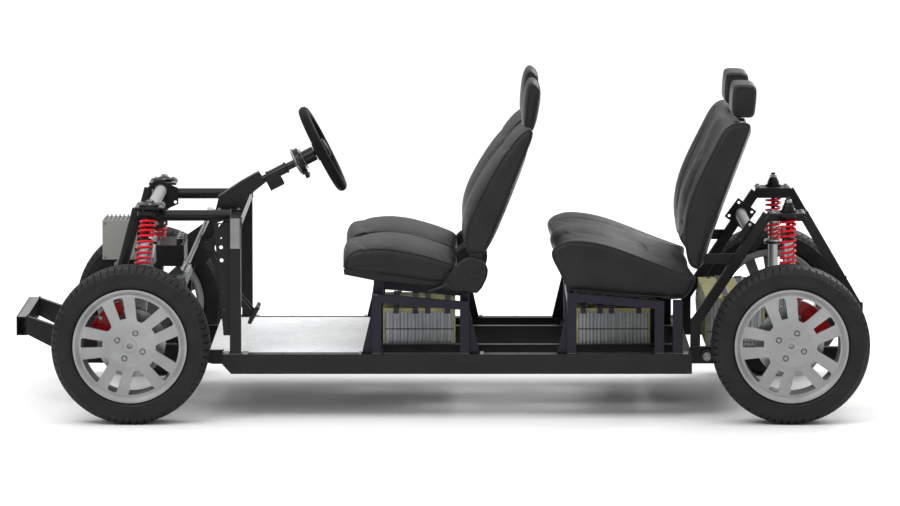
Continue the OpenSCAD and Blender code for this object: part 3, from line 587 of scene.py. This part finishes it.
LUG_ANGLES = (156, 66, -24, -114)
for end, e, side, s in CORNERS:
    out = Vector((0, s, 0))
    bolts = Parts()
    for angle in LUG_ANGLES:
        bolts.turned([(11.8, -4), (11.8, 1), (9.2, 3), (9.2, 14.5), (7.8, 16.5), (2, 16.5)],
                     around_hub(e, s, 0.05, angle, 0.0505), out, 6)
    bolts.turned([(26, -2), (26, 2), (24.5, 3.5), (21.5, 3.5), (20, 1.5), (12.5, 1), (11.8, -4)],
                 around_hub(e, s, y=0.0545), out, 48)
    bolts.build(f"wheel_bolts_{end}_{side}", zinc, f"wheel_{end}_{side}", "rim_silver")


# ---- springs ----

def strut_axis(end, side, z):
    """The point of a strut's centre line at height z, in millimetres."""
    if end == "rear":
        return at(AXLE_X, side * 500, z)
    return at(-1136 + math.tan(math.radians(6.85)) * (z - 796),
              side * (497 - math.tan(math.radians(11.5)) * (z - 796)), z)


def spring(end, side, s):
    """A swept coil with closer turns at its ends, between the mount and the carrier."""
    low, high = strut_axis(end, s, 547), strut_axis(end, s, 729)
    axis = (high - low).normalized()
    across = Vector((1, 0, 0)).cross(axis).normalized()
    other = axis.cross(across)
    coils, wire, steps = 9.5, 0.0045, 44
    length = (high - low).length - 2 * wire
    n = int(coils * steps)
    path = []
    for i in range(n + 1):
        u = i / n
        a = 2 * math.pi * coils * u
        rise = u - 0.022 * math.sin(2 * math.pi * u)
        turn = across * math.cos(a) + other * math.sin(a)
        path.append(low + axis * (wire + length * rise) + turn * 0.0265)
    coil = Parts()
    coil.tube(path, wire, 12)
    ob = make(f"coil_{end}_{side}", coil.points, coil.faces, spring_red)
    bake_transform(ob)
    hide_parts(f"spring_{end}_{side}")


for end, e, side, s in CORNERS:
    spring(end, side, s)


# ---- seats ----

def between(p, q, u):
    """The point a share u of the way from p to q."""
    return p[0] + (q[0] - p[0]) * u, p[1] + (q[1] - p[1]) * u


def corner_cut(points, rounds=2, keep=0.22):
    """Closed outline with its corners cut, which rounds them."""
    for _ in range(rounds):
        out = []
        for i, p in enumerate(points):
            q = points[(i + 1) % len(points)]
            out += [between(p, q, keep), between(q, p, keep)]
        points = out
    return points


def even(points, other, n):
    """The closed outline points, and other with the same parameter, in n even steps."""
    lengths = [0.0]
    for i, p in enumerate(points):
        q = points[(i + 1) % len(points)]
        lengths.append(lengths[-1] + math.dist(p, q))
    result, i = ([], []), 0
    for k in range(n):
        d = lengths[-1] * k / n
        while lengths[i + 1] < d:
            i += 1
        u = (d - lengths[i]) / (lengths[i + 1] - lengths[i])
        j = (i + 1) % len(points)
        for which, source in enumerate((points, other)):
            result[which].append(between(source[i], source[j], u))
    return result


class Pad:
    """A crowned pad, lofted across the car and blown up between its seams.

    pairs holds the outline points in x and z as (x, z, x, z): first where the pad is fullest and
    then where it is lowest, or as (x, z) where both are the same. crown(u) tells how full it is at
    u, from 0 in the middle to 1 at the ends; seams are functions of x, y, z that give how near a
    seam is and how deep it lies. All lengths are in millimetres."""

    def __init__(self, pairs, half, crown, seams=(), n=128, sections=46, round_r=16, bulge=7):
        self.half, self.round_r, self.n = half, round_r, n
        full = corner_cut([p[:2] for p in pairs])
        flat = corner_cut([p[-2:] for p in pairs])
        self.full, self.flat = even(full, flat, n)
        self.seams, self.crown = seams, crown
        swell = [math.dist(a, b) for a, b in zip(self.full, self.flat)]
        self.face = [min(1.0, 1.6 * d / max(swell)) for d in swell]
        self.points, self.pins, self.columns = [], [], []
        rings = 9
        ys = [-half + 2 * half * ((0.5 - 0.5 * math.cos(math.pi * k / sections)) * 0.35 + k / sections * 0.65)
              for k in range(sections + 1)]
        for k in range(rings, 0, -1):
            self.cap(-1, k / (rings + 1), bulge)
        for y in ys:
            self.section(y)
        for k in range(1, rings + 1):
            self.cap(1, k / (rings + 1), bulge)
        self.faces = []
        for a, b in zip(self.columns, self.columns[1:]):
            self.faces += [[a[i], a[(i + 1) % n], b[(i + 1) % n], b[i]] for i in range(n)]
        for ring, turn in ((self.columns[0], 1), (self.columns[-1], -1)):
            centre = len(self.points)
            x = sum(self.points[i][0] for i in ring) / n
            z = sum(self.points[i][2] for i in ring) / n
            self.points.append([x, self.points[ring[0]][1], z])
            self.pins.append(0.25)
            self.faces += [[ring[i], centre, ring[(i + 1) % n]][::turn] for i in range(n)]
        # The rings where the piping is sewn on, one near each end
        first = rings + min(range(len(ys)), key=lambda k: abs(ys[k] + half - round_r * 0.3))
        self.welts = (self.columns[first], self.columns[-1 - first])

    def outline(self, y):
        """The outline at y before rounding, with the direction into the pad at each point."""
        w = self.crown(abs(y) / self.half)
        ring = [between(b, a, w) for a, b in zip(self.full, self.flat)]
        area = sum(p[0] * q[1] - q[0] * p[1] for p, q in zip(ring, ring[1:] + ring[:1]))
        turn = 1 if area > 0 else -1
        inward = []
        for i in range(self.n):
            a, b = ring[i - 1], ring[(i + 1) % self.n]
            size = math.dist(a, b) * turn
            inward.append((-(b[1] - a[1]) / size, (b[0] - a[0]) / size))
        return ring, inward

    def section(self, y):
        deep = max(0.0, abs(y) - (self.half - self.round_r))
        shrink = min(self.round_r - math.sqrt(max(0, self.round_r ** 2 - deep ** 2)), self.round_r * 0.8)
        ring, inward = self.outline(y)
        self.columns.append([])
        for i, (x, z) in enumerate(ring):
            sink, hold = shrink, 1.0 if deep > self.round_r * 0.55 else 0.0
            for seam in self.seams:
                near, depth = seam(x, y, z)
                sink += depth * near * self.face[i]
                hold = max(hold, near * self.face[i])
            self.columns[-1].append(len(self.points))
            self.points.append([x + inward[i][0] * sink, y, z + inward[i][1] * sink])
            self.pins.append(hold)

    def cap(self, end, f, bulge):
        ring, inward = self.outline(self.half)
        cx = sum(p[0] for p in ring) / self.n
        cz = sum(p[1] for p in ring) / self.n
        self.columns.append([])
        for i, (x, z) in enumerate(ring):
            x, z = x + inward[i][0] * self.round_r * 0.8, z + inward[i][1] * self.round_r * 0.8
            self.columns[-1].append(len(self.points))
            self.points.append([cx + (x - cx) * (1 - f), end * (self.half + bulge * (1 - (1 - f) ** 2)),
                                cz + (z - cz) * (1 - f)])
            self.pins.append(0.25)


def inflate(ob, pins, pressure, cap, frames=18):
    """Cloth under air pressure, held at its seams; the result is applied to the mesh."""
    group = ob.vertex_groups.new(name="seams")
    for i, w in enumerate(pins):
        group.add([i], w, "REPLACE")
    rest = [v.co.copy() for v in ob.data.vertices]
    cloth = ob.modifiers.new("cloth", "CLOTH")
    s = cloth.settings
    s.quality = 5
    s.mass = 0.25
    s.tension_stiffness = s.compression_stiffness = s.shear_stiffness = 12
    s.bending_stiffness = 0.6
    s.air_damping = 2
    s.use_pressure = True
    s.uniform_pressure_force = pressure
    s.effector_weights.gravity = 0
    s.vertex_group_mass = "seams"
    s.pin_stiffness = 1.0
    cloth.collision_settings.use_collision = False
    cloth.point_cache.frame_start = 1
    cloth.point_cache.frame_end = frames
    for f in range(1, frames + 1):
        scene.frame_set(f)
    mesh = bpy.data.meshes.new_from_object(ob.evaluated_get(bpy.context.evaluated_depsgraph_get()))
    ob.modifiers.clear()
    for v, after in zip(ob.data.vertices, mesh.vertices):
        move = after.co - rest[v.index]
        if move.length > cap:
            move *= cap / move.length
        v.co = rest[v.index] + move
    bpy.data.meshes.remove(mesh)
    scene.frame_set(1)
    ob.vertex_groups.clear()


def upholster(name, pad, side_y, body, replaces=None, fill=0.85, pressure=3.0, cap=0.012):
    """The pad as a piece at one seat, with piping along both ends as a second piece."""
    rows = [at(x, y + side_y, z) for x, y, z in pad.points]
    ob = make(name, rows, pad.faces, seat_leather)
    inflate(ob, pad.pins, pressure, cap)
    piping = Parts()
    for ring in pad.welts:
        piping.tube([ob.data.vertices[i].co.copy() for i in ring], 0.0034, 8, closed=True)
    trim = piping.build(name + "_piping", highlight_leather, body, "seat_leather", 60)
    join(ob, body, fill, replaces)
    return ob, trim


def join(ob, body, fill=None, replaces=None):
    """Puts a seat piece on its body; fill is for pads, which are smoothed, and not for piping."""
    if fill:
        sub = ob.modifiers.new("smooth", "SUBSURF")
        sub.levels = sub.render_levels = 1
    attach(ob, body)
    if replaces:
        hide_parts(replaces)


def mirrored(ob, name, body, fill=None, replaces=None):
    """The same mesh on the other side of the car."""
    other = bpy.data.objects.new(name, ob.data.copy())
    scene.collection.objects.link(other)
    other.data.transform(Matrix.Scale(-1, 4, (0, 1, 0)))
    other.data.flip_normals()
    join(other, body, fill, replaces)


def both(name, pad, body, replaces=None, fill=0.85, **how):
    """The pad at the right seat and its mirror image at the left one."""
    ob, trim = upholster(f"{name}_right", pad, SEAT_Y, body.format("right"),
                         replaces and replaces.format("right"), fill, **how)
    mirrored(ob, f"{name}_left", body.format("left"), fill, replaces and replaces.format("left"))
    mirrored(trim, f"{name}_left_piping", body.format("left"))


def dome(power):
    return lambda u: 1 - u ** power


def bench(u):
    """Full in the middle of the car and at its sides, low at each seat."""
    return (0.5 + 0.5 * math.cos(2 * math.pi * u)) ** 1.35


def line_seam(y0, width=5, depth=4):
    return lambda x, y, z: (math.exp(-((abs(y) - y0) / width) ** 2), depth)


def nose_seam(x, y, z):
    """Curved seam across the top of the front cushion, behind its nose roll."""
    d = x + 385 - 40 * (y / 230) ** 2
    return (math.exp(-(d / 7) ** 2) if z > 588 else 0.0), 5


def shoulder_seam(x, y, z):
    """Curved seam across the front of the backrest, below the shoulders."""
    d = z - 966 - 22 * (y / 230) ** 2
    return math.exp(-(d / 6) ** 2), 4


both("front_seat_pad", Pad([
    (-404, 533, -402, 533), (-432, 546), (-434, 580, -428, 562), (-424, 614, -418, 584),
    (-410, 627, -405, 600), (-379, 630, -378, 612), (-352, 640, -348, 618), (-277, 650, -274, 618),
    (-201, 643, -215, 609), (-126, 622, -130, 592), (-40, 592, -60, 571), (-12, 578, -20, 556),
    (-14, 540, -22, 528), (-40, 492, -40, 490), (-87, 486), (-240, 508.5), (-322, 520.5)],
    230, dome(2.6), [nose_seam]), "seat_{}", "front_cushion_{}")

both("front_back_pad", Pad([
    (60, 588, 60, 584), (26, 602, 28, 594), (6, 640, 14, 638), (4, 700, 22, 698), (22, 772, 56, 773),
    (74, 868, 108, 878), (140, 962, 167, 976), (196, 1026, 220, 1040), (240, 1070, 256, 1060),
    (266, 1048, 268, 1036), (232, 940, 227, 938), (158, 752, 153, 751), (94, 596, 88, 590)],
    232, dome(2.8), [shoulder_seam]), "backrest_{}", "front_backrest_{}")

both("front_head_pad", Pad([
    (224, 1052, 232, 1052), (226, 1110, 236, 1114), (232, 1180, 243, 1182), (246, 1222, 251, 1212),
    (262, 1230, 262, 1220), (278, 1220, 276, 1212), (296, 1200, 294, 1190), (288, 1135, 286, 1135),
    (272, 1042, 270, 1042), (250, 1036)],
    126, dome(2.6), n=96, sections=34, round_r=18), "backrest_{}", cap=0.008)

# The bench and its backrest run across the car, with a ridge between the seats and at each side
BENCH_SEAMS = [line_seam(112), line_seam(432)]
upholster("rear_seat_pad", Pad([
    (391, 461, 392, 461), (371, 510, 376, 512), (331, 585, 350, 575), (332, 612, 356, 594),
    (356, 636, 376, 604), (408, 652, 410, 612), (482, 646, 480, 610), (552, 630, 552, 594),
    (640, 598, 640, 566), (739, 558, 739, 534), (838, 522, 838, 514), (864, 514, 862, 508),
    (860, 488, 858, 488), (832, 440), (810, 430), (743, 435), (601, 444), (419, 460)],
    540, bench, BENCH_SEAMS, sections=110, round_r=20, bulge=6), 0, "chassis", "rear_cushions")

upholster("rear_back_pad", Pad([
    (866, 536, 868, 538), (832, 556, 842, 556), (819, 620, 840, 622), (815, 684, 848, 680),
    (824, 752, 866, 744), (842, 815, 888, 804), (876, 894, 916, 880), (914, 970, 948, 954),
    (950, 1042, 974, 1024), (972, 1070, 992, 1056), (1002, 1085, 1008, 1074), (1050, 1085, 1048, 1076),
    (1064, 1068, 1060, 1064), (1047, 1017, 1045, 1017), (989, 866, 988, 866), (939, 731),
    (900, 620), (882, 546)],
    540, bench, BENCH_SEAMS, sections=110, round_r=22, bulge=6), 0, "chassis", "rear_backrests")


def lean(x, z):
    """A point of the rear headrest frame, in x and z from mid-wheelbase."""
    a = math.radians(8)
    return 1040 + x * math.cos(a) + z * math.sin(a), 1080 - x * math.sin(a) + z * math.cos(a)


both("rear_head_pad", Pad([
    (*lean(-47, 10), *lean(-44, 11)), (*lean(-53, 60), *lean(-50, 60)), (*lean(-56, 112), *lean(-52, 111)),
    (*lean(-50, 127), *lean(-48, 123)), (*lean(-20, 132), *lean(-20, 128)), (*lean(14, 135), *lean(12, 131)),
    (*lean(27, 129), *lean(24, 126)), (*lean(34, 111), *lean(31, 110)), (*lean(37, 60), *lean(34, 60)),
    (*lean(38, 14), *lean(35, 15)), (*lean(-6, 8), *lean(-6, 10))],
    122, dome(8), n=80, sections=30, round_r=8, bulge=2), "headrest_{}", "rear_headrest_{}", 0.95,
    pressure=0.8, cap=0.003)

# Outlines of the recliner cover, the backrest lug, the plate on a runner and the skirt beside it
COVER = side_view((14, 583), (30, 589), (50, 588), (81, 577), (94, 560), (100, 542), (98, 522), (92, 504),
                  (78, 476), (61, 457), (30, 457), (3, 459), (-40, 465), (-70, 470), (-77, 478), (-76, 486),
                  (-52, 514), (-31, 542), (-8, 568))
LUG = side_view((30, 604), (28, 545), (72, 545), (80, 604))
RUNNER_PLATE = side_view((-400, 534.5), (-60, 483.9), (-60, 492), (-400, 543))
SKIRT = side_view((-430, 541), (-427, 522), (-322, 501), (-87, 480), (-60, 484), (-60, 500), (-400, 546))
for side, s in SIDES.items():
    posts, collars = Parts(), Parts()
    for y in (245, 355):
        low, foot, high = (at(x, s * y, z) for x, z in (lean(-6, -98), lean(-6, 2), lean(-6, 12)))
        posts.tube([low, high], 0.006, 20)
        collars.turned([(8.5, -10), (13, -10), (13, -5), (9.5, 1), (6.8, 1)], foot, high - foot, 28)
        out = s if y > SEAT_Y else -s
        x, z = lean(-28, 118)
        collars.turned([(4.5, -2), (4.5, 1.2), (3, 2)], at(x, s * SEAT_Y + out * 125, z), (0, out, 0), 16)
    posts.build(f"headrest_posts_{side}", polished, f"headrest_{side}", "polished_steel")
    collars.build(f"headrest_collars_{side}", trim_plastic, f"headrest_{side}", "trim_plastic")

    # Recliner covers with their screws, the pan below the cushion and its skirts, and the lugs
    covers, pan, lugs = Parts(), Parts(), Parts()
    for face, inner, deep, lug, out in ((44, 60, 72, 62, -s), (556, 540, 528, 528, s)):
        covers.plate(COVER, *reach(s, face, inner), "y", 0.007)
        covers.turned([(21, -2), (21, 3), (18, 4.5), (6, 4.5), (5, 3)],
                      at(50, s * face, 530), (0, out, 0), 32)
        for x, z in ((-52, 484), (10, 474), (80, 552)):
            covers.turned([(5.2, -1), (5.2, 1.2), (4.2, 2), (1.8, 2), (1.6, 1)],
                          at(x, s * face, z), (0, out, 0), 16)
        pan.tube([at(50, s * inner, 530), at(50, s * deep, 530)], 0.008, 20)
        low, high = reach(s, inner, deep - 4 * s * out)
        pan.brick((-0.060 + MID_X, low, 0.490), (-0.034 + MID_X, high, 0.530))
        low, high = reach(s, lug, lug + 10)
        lugs.turned([(8.5, 0), (24, 0), (24, 9.5), (8.5, 9.5)], at(50, low * 1000, 530), (0, 1, 0), 40)
        lugs.plate(LUG, low, high)
    for y in (105, 479):
        pan.plate(RUNNER_PLATE, *reach(s, y - 4, y + 30), "y", 0.001)
    for y in (73, 508):
        pan.plate(SKIRT, *reach(s, y, y + 19), "y", 0.002)
    covers.build(f"recliner_covers_{side}", trim_plastic, f"seat_{side}", "trim_plastic")
    pan.build(f"seat_pan_{side}", mount_black, f"seat_{side}", "mount_black")
    lugs.build(f"backrest_lugs_{side}", mount_black, f"backrest_{side}", "mount_black")


# ---- battery packs ----

# First and last x, half width, bottom, top, and where the straps lie along the pack
PACKS = ((-288, -20, 265, 227, 356, (0.15, 0.44, 0.63, 0.93)),
         (431, 703, 265, 227, 356, (0.05, 0.30, 0.47, 0.88)),
         (906, 1124, 350, 237, 404, (0.34, 0.72)))
SCREWS = 18                         # cell screws along each side of a pack
straps, buckles, cells = Parts(), Parts(), Parts()
for x0, x1, half, z0, z1, places in PACKS:
    top = z1 + 12                   # upper face of the lid
    lid = top / 1000
    for share in places:
        x = (x0 + 12 + (x1 - x0 - 24) * share) / 1000 + MID_X
        a, b = x - 0.010, x + 0.010
        for s in (-1, 1):
            low, high = reach(s, half - 1, half + 2)
            straps.brick((a, low, lid - 0.020), (b, high, lid + 0.0025), 0.0008)
            low, high = reach(s, half - 34, half - 14)
            for y in (low, high):
                buckles.tube([(a - 0.004, y, lid + 0.0045), (b + 0.004, y, lid + 0.0045)], 0.002, 10)
            for end in (a - 0.004, b + 0.004):
                buckles.tube([(end, low, lid + 0.0045), (end, high, lid + 0.0045)], 0.002, 10)
            buckles.brick((a + 0.001, low + 0.007, lid + 0.002),
                          (b - 0.001, high - 0.007, lid + 0.0065), 0.0008)
        straps.brick((a, -half / 1000, lid - 0.001), (b, half / 1000, lid + 0.0025), 0.0008)
    for k in range(SCREWS):
        x = x0 + 14 + (x1 - x0 - 28) * (k + 0.5) / SCREWS
        for s in (-1, 1):
            cells.turned([(4.2, -1), (4.2, 1.6), (3, 2.4)], at(x, s * half, z0 + 16), (0, s, 0), 10)
    for x in (x0 + 40, x1 - 40):
        for y in (-half + 50, half - 50):
            cells.bolt(at(x, y, top), UP, 6)
straps.build("battery_straps", strap_grey, "chassis", "lid_yellow")
buckles.build("strap_buckles", zinc, "chassis", "electronics_grey")
cells.build("battery_screws", zinc, "chassis", "electronics_grey")


# ---- frame fittings ----

plates, bolts, beads = Parts(), Parts(), Parts()
DASH_END = side_view((-841, 626), (-806, 626), (-806, 737), (-841, 737))
for s in SIDES.values():
    # End plates on the dash posts and foot plates on the sills
    plates.plate(DASH_END, *reach(s, 604.5, 607.5), "y", 0.0008)
    low, high = reach(s, 548, 603.5)
    for x0, x1 in ((-866, -846), (-801, -778), (-372, -363), (71, 84), (814, 832)):
        plates.brick((x0 / 1000 + MID_X, low, 0.2365), (x1 / 1000 + MID_X, high, 0.2425), 0.001)

WELDS = (((-844, 605.5, 238), (-803, 605.5, 238)), ((-844.5, 566, 238), (-844.5, 605, 238)),
         ((-802.5, 566, 238), (-802.5, 605, 238)), ((-325, 592.5, 238), (-291, 592.5, 238)),
         ((-3, 592.5, 238), (31, 592.5, 238)), ((389, 592.5, 238), (423, 592.5, 238)),
         ((710, 592.5, 238), (744, 592.5, 238)), ((776, 592.5, 238), (812, 592.5, 238)),
         ((846, 458.5, 248), (882, 458.5, 248)), ((1444, 458.5, 248), (1480, 458.5, 248)),
         ((846.5, 458, 186), (846.5, 458, 246)), ((-872.5, 545, 236), (-872.5, 470, 236)),
         ((-802.5, 565, 700), (-802.5, 565, 738)), ((-1606, 280, 343), (-1606, 320, 343)),
         ((1119, 458.5, 716), (1140, 458.5, 748)), ((1250, 458.5, 748), (1270, 458.5, 716)),
         ((-325, 592.5, 456), (-303, 592.5, 454)), ((846, 545, 238), (846, 458, 238)))
for a, b in WELDS:
    for s in SIDES.values():
        beads.bead(at(a[0], s * a[1], a[2]), at(b[0], s * b[1], b[2]), 0.0036)
for s in SIDES.values():
    beads.ring_bead(at(-1147, s * 395.5, 742), (0, 1, 0), 0.0225, 0.0034)
    beads.ring_bead(at(1071, s * 413, 652), (0, 1, 0), 0.0215, 0.0034)
    beads.ring_bead(at(-846, s * 423, 730), (1, 0, 0), 0.0205, 0.0034)

# Where each bolt stands, which way its head points, and its size
BOLTS = [(905, 500, 216, (0, 1, 0), 10), (-1255, 340, 210, (-1, 0, 0), 7),
         (-1155, 340, 210, (1, 0, 0), 7)]
BOLTS += [(x, y, 772, UP, 6.5) for x, y in ((-1182, 410), (-1098, 410), (-1182, 540), (-1098, 540))]
BOLTS += [(x, y, 750, UP, 6.5) for x, y in ((1142, 470), (1250, 470), (1142, 545), (1250, 545))]
BOLTS += [(x, 404, z, (0, 1, 0), 5.5) for x, z in ((-1198, 722), (-1120, 700), (-1150, 700))]
BOLTS += [(x, y, 535 - 0.149 * (x + 436), (0.147, 0, 0.989), 4.5) for y in (118, 500) for x in (-335, 38)]
for x, y, z, (ax, ay, az), r in BOLTS:
    for s in SIDES.values():
        bolts.bolt(at(x, s * y, z), (ax, s * ay, az), r)
for x in (-890, -820):
    for y in (-255, -345):
        bolts.bolt(at(x, y, 744), UP, 6)
plates.build("frame_plates", plate_grey, "chassis", "frame_black")
bolts.build("frame_bolts", zinc, "chassis", "electronics_grey")
beads.build("weld_beads", weld, "chassis", "frame_black", 60)

# Strut tops: nuts, flange bolts and rubber rings
nuts, rubbers = Parts(), Parts()
for s in (-1, 1):
    x, y, z = strut_axis("front", s, 785)
    nuts.turned([(13.5, 0), (13.5, 8), (11.5, 10), (3, 10)], (x, y, 0.7855), UP, 6)
    for k in range(3):
        a = math.radians(30 + 120 * k)
        nuts.bolt(Vector((x + 0.0375 * math.cos(a), y + 0.0375 * math.sin(a), 0.780)), UP, 5)
    for i, z in enumerate((0.744, 0.751, 0.758)):
        rubbers.turned([(24, -3), (30, -2.2), (31, 0), (30, 2.2), (24, 3)], (x, y, z), UP, 32)
    nuts.turned([(13.5, 0), (13.5, 9), (11.5, 11), (3, 11)], at(1200, s * 500, 785), UP, 6)
    for z, r in ((758, 24.5), (765, 22.8), (772, 20.8)):
        rubbers.turned([(r - 4, -2.8), (r, -2), (r + 1, 0), (r, 2), (r - 4, 2.8)],
                       at(1200, s * 500, z), UP, 32)
nuts.build("strut_nuts", zinc, "chassis", "electronics_grey")
rubbers.build("strut_rubbers", trim_plastic, "chassis", "mount_black", 50)

# Dust collars and spring seats ride with the carriers, as do the calipers: piston bosses,
# bridge ribs and guide bolts
for end, e, side, s in CORNERS:
    kit, red, screws = Parts(), Parts(), Parts()
    low, high = strut_axis(end, s, 646), strut_axis(end, s, 652)
    kit.turned([(18.6, 0), (20.5, 1), (20.5, 9), (18.6, 10)], low, high - low, 32)
    kit.turned([(19, 0), (34, 1), (38.5, 6), (38.5, 10), (36, 12), (19, 12)],
               strut_axis(end, s, 528), high - low, 40)
    kit.build(f"damper_collars_{end}_{side}", mount_black, f"carrier_{end}_{side}", "strut_silver")
    middle = 140 if end == "front" else 40
    for d in (-17, 17):
        red.turned([(24, -4), (24, 2), (21, 5), (15, 5), (13.5, 3), (4, 3)],
                   around_hub(e, s, 0.120, middle + d, -0.018), (0, s, 0), 36)
    for d, r in ((-31, 0.100), (31, 0.100), (0, 0.146)):
        screws.bolt(around_hub(e, s, r, middle + d, -0.018), (0, s, 0), 5.5)
    for r in (0.094, 0.148):
        red.tube([around_hub(e, s, r, middle - 24 + 6 * k, -0.0185) for k in range(9)], 0.0042, 12)
    red.build(f"caliper_bosses_{end}_{side}", caliper_red, f"carrier_{end}_{side}", "caliper_red", 50)
    screws.build(f"caliper_bolts_{end}_{side}", zinc, f"carrier_{end}_{side}", "caliper_red")


# ---- steering and pedals ----

LEAN = math.radians(27.2)


def column(x, y, z):
    """A point of the column frame, z down the column from the steering wheel."""
    b = -(math.pi / 2 + LEAN)
    return at(-510 + x * math.cos(b) + z * math.sin(b), -300 + y, 965 - x * math.sin(b) + z * math.cos(b))


down = (column(0, 0, 100) - column(0, 0, 0)).normalized()
hub, stitch, carrier, collar = Parts(), Parts(), Parts(), Parts()
hub.turned([(33, 0), (36, 3), (36.5, 12), (34, 18), (26, 21.5), (12, 23), (2, 23)],
           column(0, 0, 2), -down, 48)
for a in (math.pi / 2, math.pi, 1.5 * math.pi):
    p = column(20 * math.cos(a), 20 * math.sin(a), 16)
    q = column(146 * math.cos(a), 146 * math.sin(a), 0)
    hub.tube([p, p.lerp(q, 0.5), q], 0.0135, 20)
hub.build("wheel_boss", trim_plastic, "steering_wheel", "wheel_grip", 50)
SEAM_R, STITCHES = 136, 300
turns = [2 * math.pi * k / STITCHES for k in range(STITCHES)]
stitch.tube([column(SEAM_R * math.cos(a), SEAM_R * math.sin(a), 0) for a in turns],
            0.0013, 8, True, 0.5, 0.006)
stitch.build("wheel_stitching", highlight_leather, "steering_wheel", "wheel_grip", 60)
carrier.turned([(16, -1), (52, -1), (54, 2), (54, 4), (51, 6), (40, 10), (20, 12)],
               column(0, 0, 104), down, 48)
carrier.turned([(28, 0), (40, 1), (41, 3), (28, 4)], column(0, 0, 82), -down, 48)
for x, y in ((-58, -14), (-58, 14), (-22, -14), (-22, 14)):
    carrier.bolt(column(x, y, 88), -down, 4)
carrier.build("switch_carrier", electronics_plate, "chassis", "mount_black", 50)
for z in (152, 226):
    collar.turned([(19, -4), (21.5, -3), (21.5, 3), (19, 4)], column(0, 0, z), down, 36)
for z in (198, 227):
    for s in (-1, 1):
        collar.bolt(column(-33, 22 * s, z), (0, s, 0), 5)
collar.turned([(13.8, -6), (17.5, -5), (17.5, 5), (13.8, 6)], column(0, 0, 418), down, 32)
collar.build("column_collars", mount_black, "chassis", "mount_black", 50)
tip = Parts()
a, b = column(11.5, -132, 87.8), column(14.5, -154, 85.6)
tip.turned([(6, 0), (8.5, 3), (9.5, 10), (9, 21), (6, 24.5), (2, 25.5)], a, b - a, 24)
tip.build("stalk_tip", trim_plastic, "indicator_stalk", "mount_black", 50)
for name, y, w in (("brake", -350, 90), ("accelerator", -245, 46)):
    ribs, hubs = Parts(), Parts()
    for k in range(6):
        f = (k + 0.5) / 6
        ribs.tube([at(-782 + 34 * f, y + half, 325 + 60 * f) + Vector((0.87, 0, -0.493)) * 0.0062
                   for half in (5 - w / 2, w / 2 - 5)], 0.0026, 10)
    ribs.build(f"{name}_pedal_ribs", trim_plastic, f"{name}_pedal", "pedal_black", 50)
    hubs.turned([(8.2, 0), (13.5, 0), (14.5, 1.5), (14.5, 3), (8.2, 3.5)],
                at(-935, y + 15, 610), (0, 1, 0), 32)
    hubs.build(f"{name}_pedal_hub", zinc, f"{name}_pedal", "pedal_black", 50)

# Boots on the steering rack, yokes on the shaft, glands and screws on the two boxes
for side, s in SIDES.items():
    joint = Parts()
    joint.turned([(6.2, 0), (16.5, 1), (16.5, 6), (14, 11), (10, 16), (6.2, 18)],
                 at(-1040, s * 545, 430), UP, 28)
    joint.turned([(6.2, 0), (11, 0.5), (11, 8), (6.2, 9)], at(-1040, s * 545, 466), UP, 6)
    joint.build(f"tie_rod_boot_{side}", trim_plastic, f"tie_rod_{side}", "arm_black", 50)
yokes = Parts()
top, low = at(-915, -300, 752), at(-1038, -224, 482)
way = (low - top).normalized()
for place in (top + way * 0.016, low - way * 0.032, top + way * 0.042, low - way * 0.058):
    yokes.turned([(9, -3), (16.5, -2), (16.5, 2), (9, 3)], place, way, 28)
yokes.build("shaft_yokes", polished, "intermediate_shaft", "polished_steel", 50)
boxes = Parts()
for x in (-1350, -1244):
    for z in (510, 638):
        for y, axis in ((196, (0, -1, 0)), (372, (0, 1, 0))):
            boxes.bolt(at(x, y, z), axis, 4, False)
for y in (230, 285, 340):
    boxes.turned([(12, 0), (12, 8), (10, 9), (10, 20), (7.5, 22), (3, 22)], at(-1236, y, 540), (1, 0, 0), 24)
for y in (-130, -60, 80, 150):
    for x in (-1128, -1040):
        boxes.bolt(at(x, y, 590), UP, 4.5, False)
for y in (-110, -40, 30):
    boxes.turned([(13.5, 0), (13.5, 3), (10, 4), (10, 12), (6, 13.5), (2, 13.5)],
                 at(-1050, y, 611), UP, 24)
boxes.build("box_fittings", zinc, "chassis", "electronics_grey", 50)


# ---- floor and end ----

floor_mesh = bpy.data.meshes.new("floor")
floor_mesh.from_pydata([(-60, -60, 0), (60, -60, 0), (60, 60, 0), (-60, 60, 0)], [], [(0, 1, 2, 3)])
floor = bpy.data.objects.new("floor", floor_mesh)
scene.collection.objects.link(floor)
floor_paint = Finish("floor_paint", (0.92, 0.92, 0.92), 0.55)
floor_paint.uneven(3, 0.05)
floor_mesh.materials.append(floor_paint.mat)
floor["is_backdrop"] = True

low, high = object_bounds()
{"cad": [list(cad_low), list(cad_high)], "visual": [list(low), list(high)]}
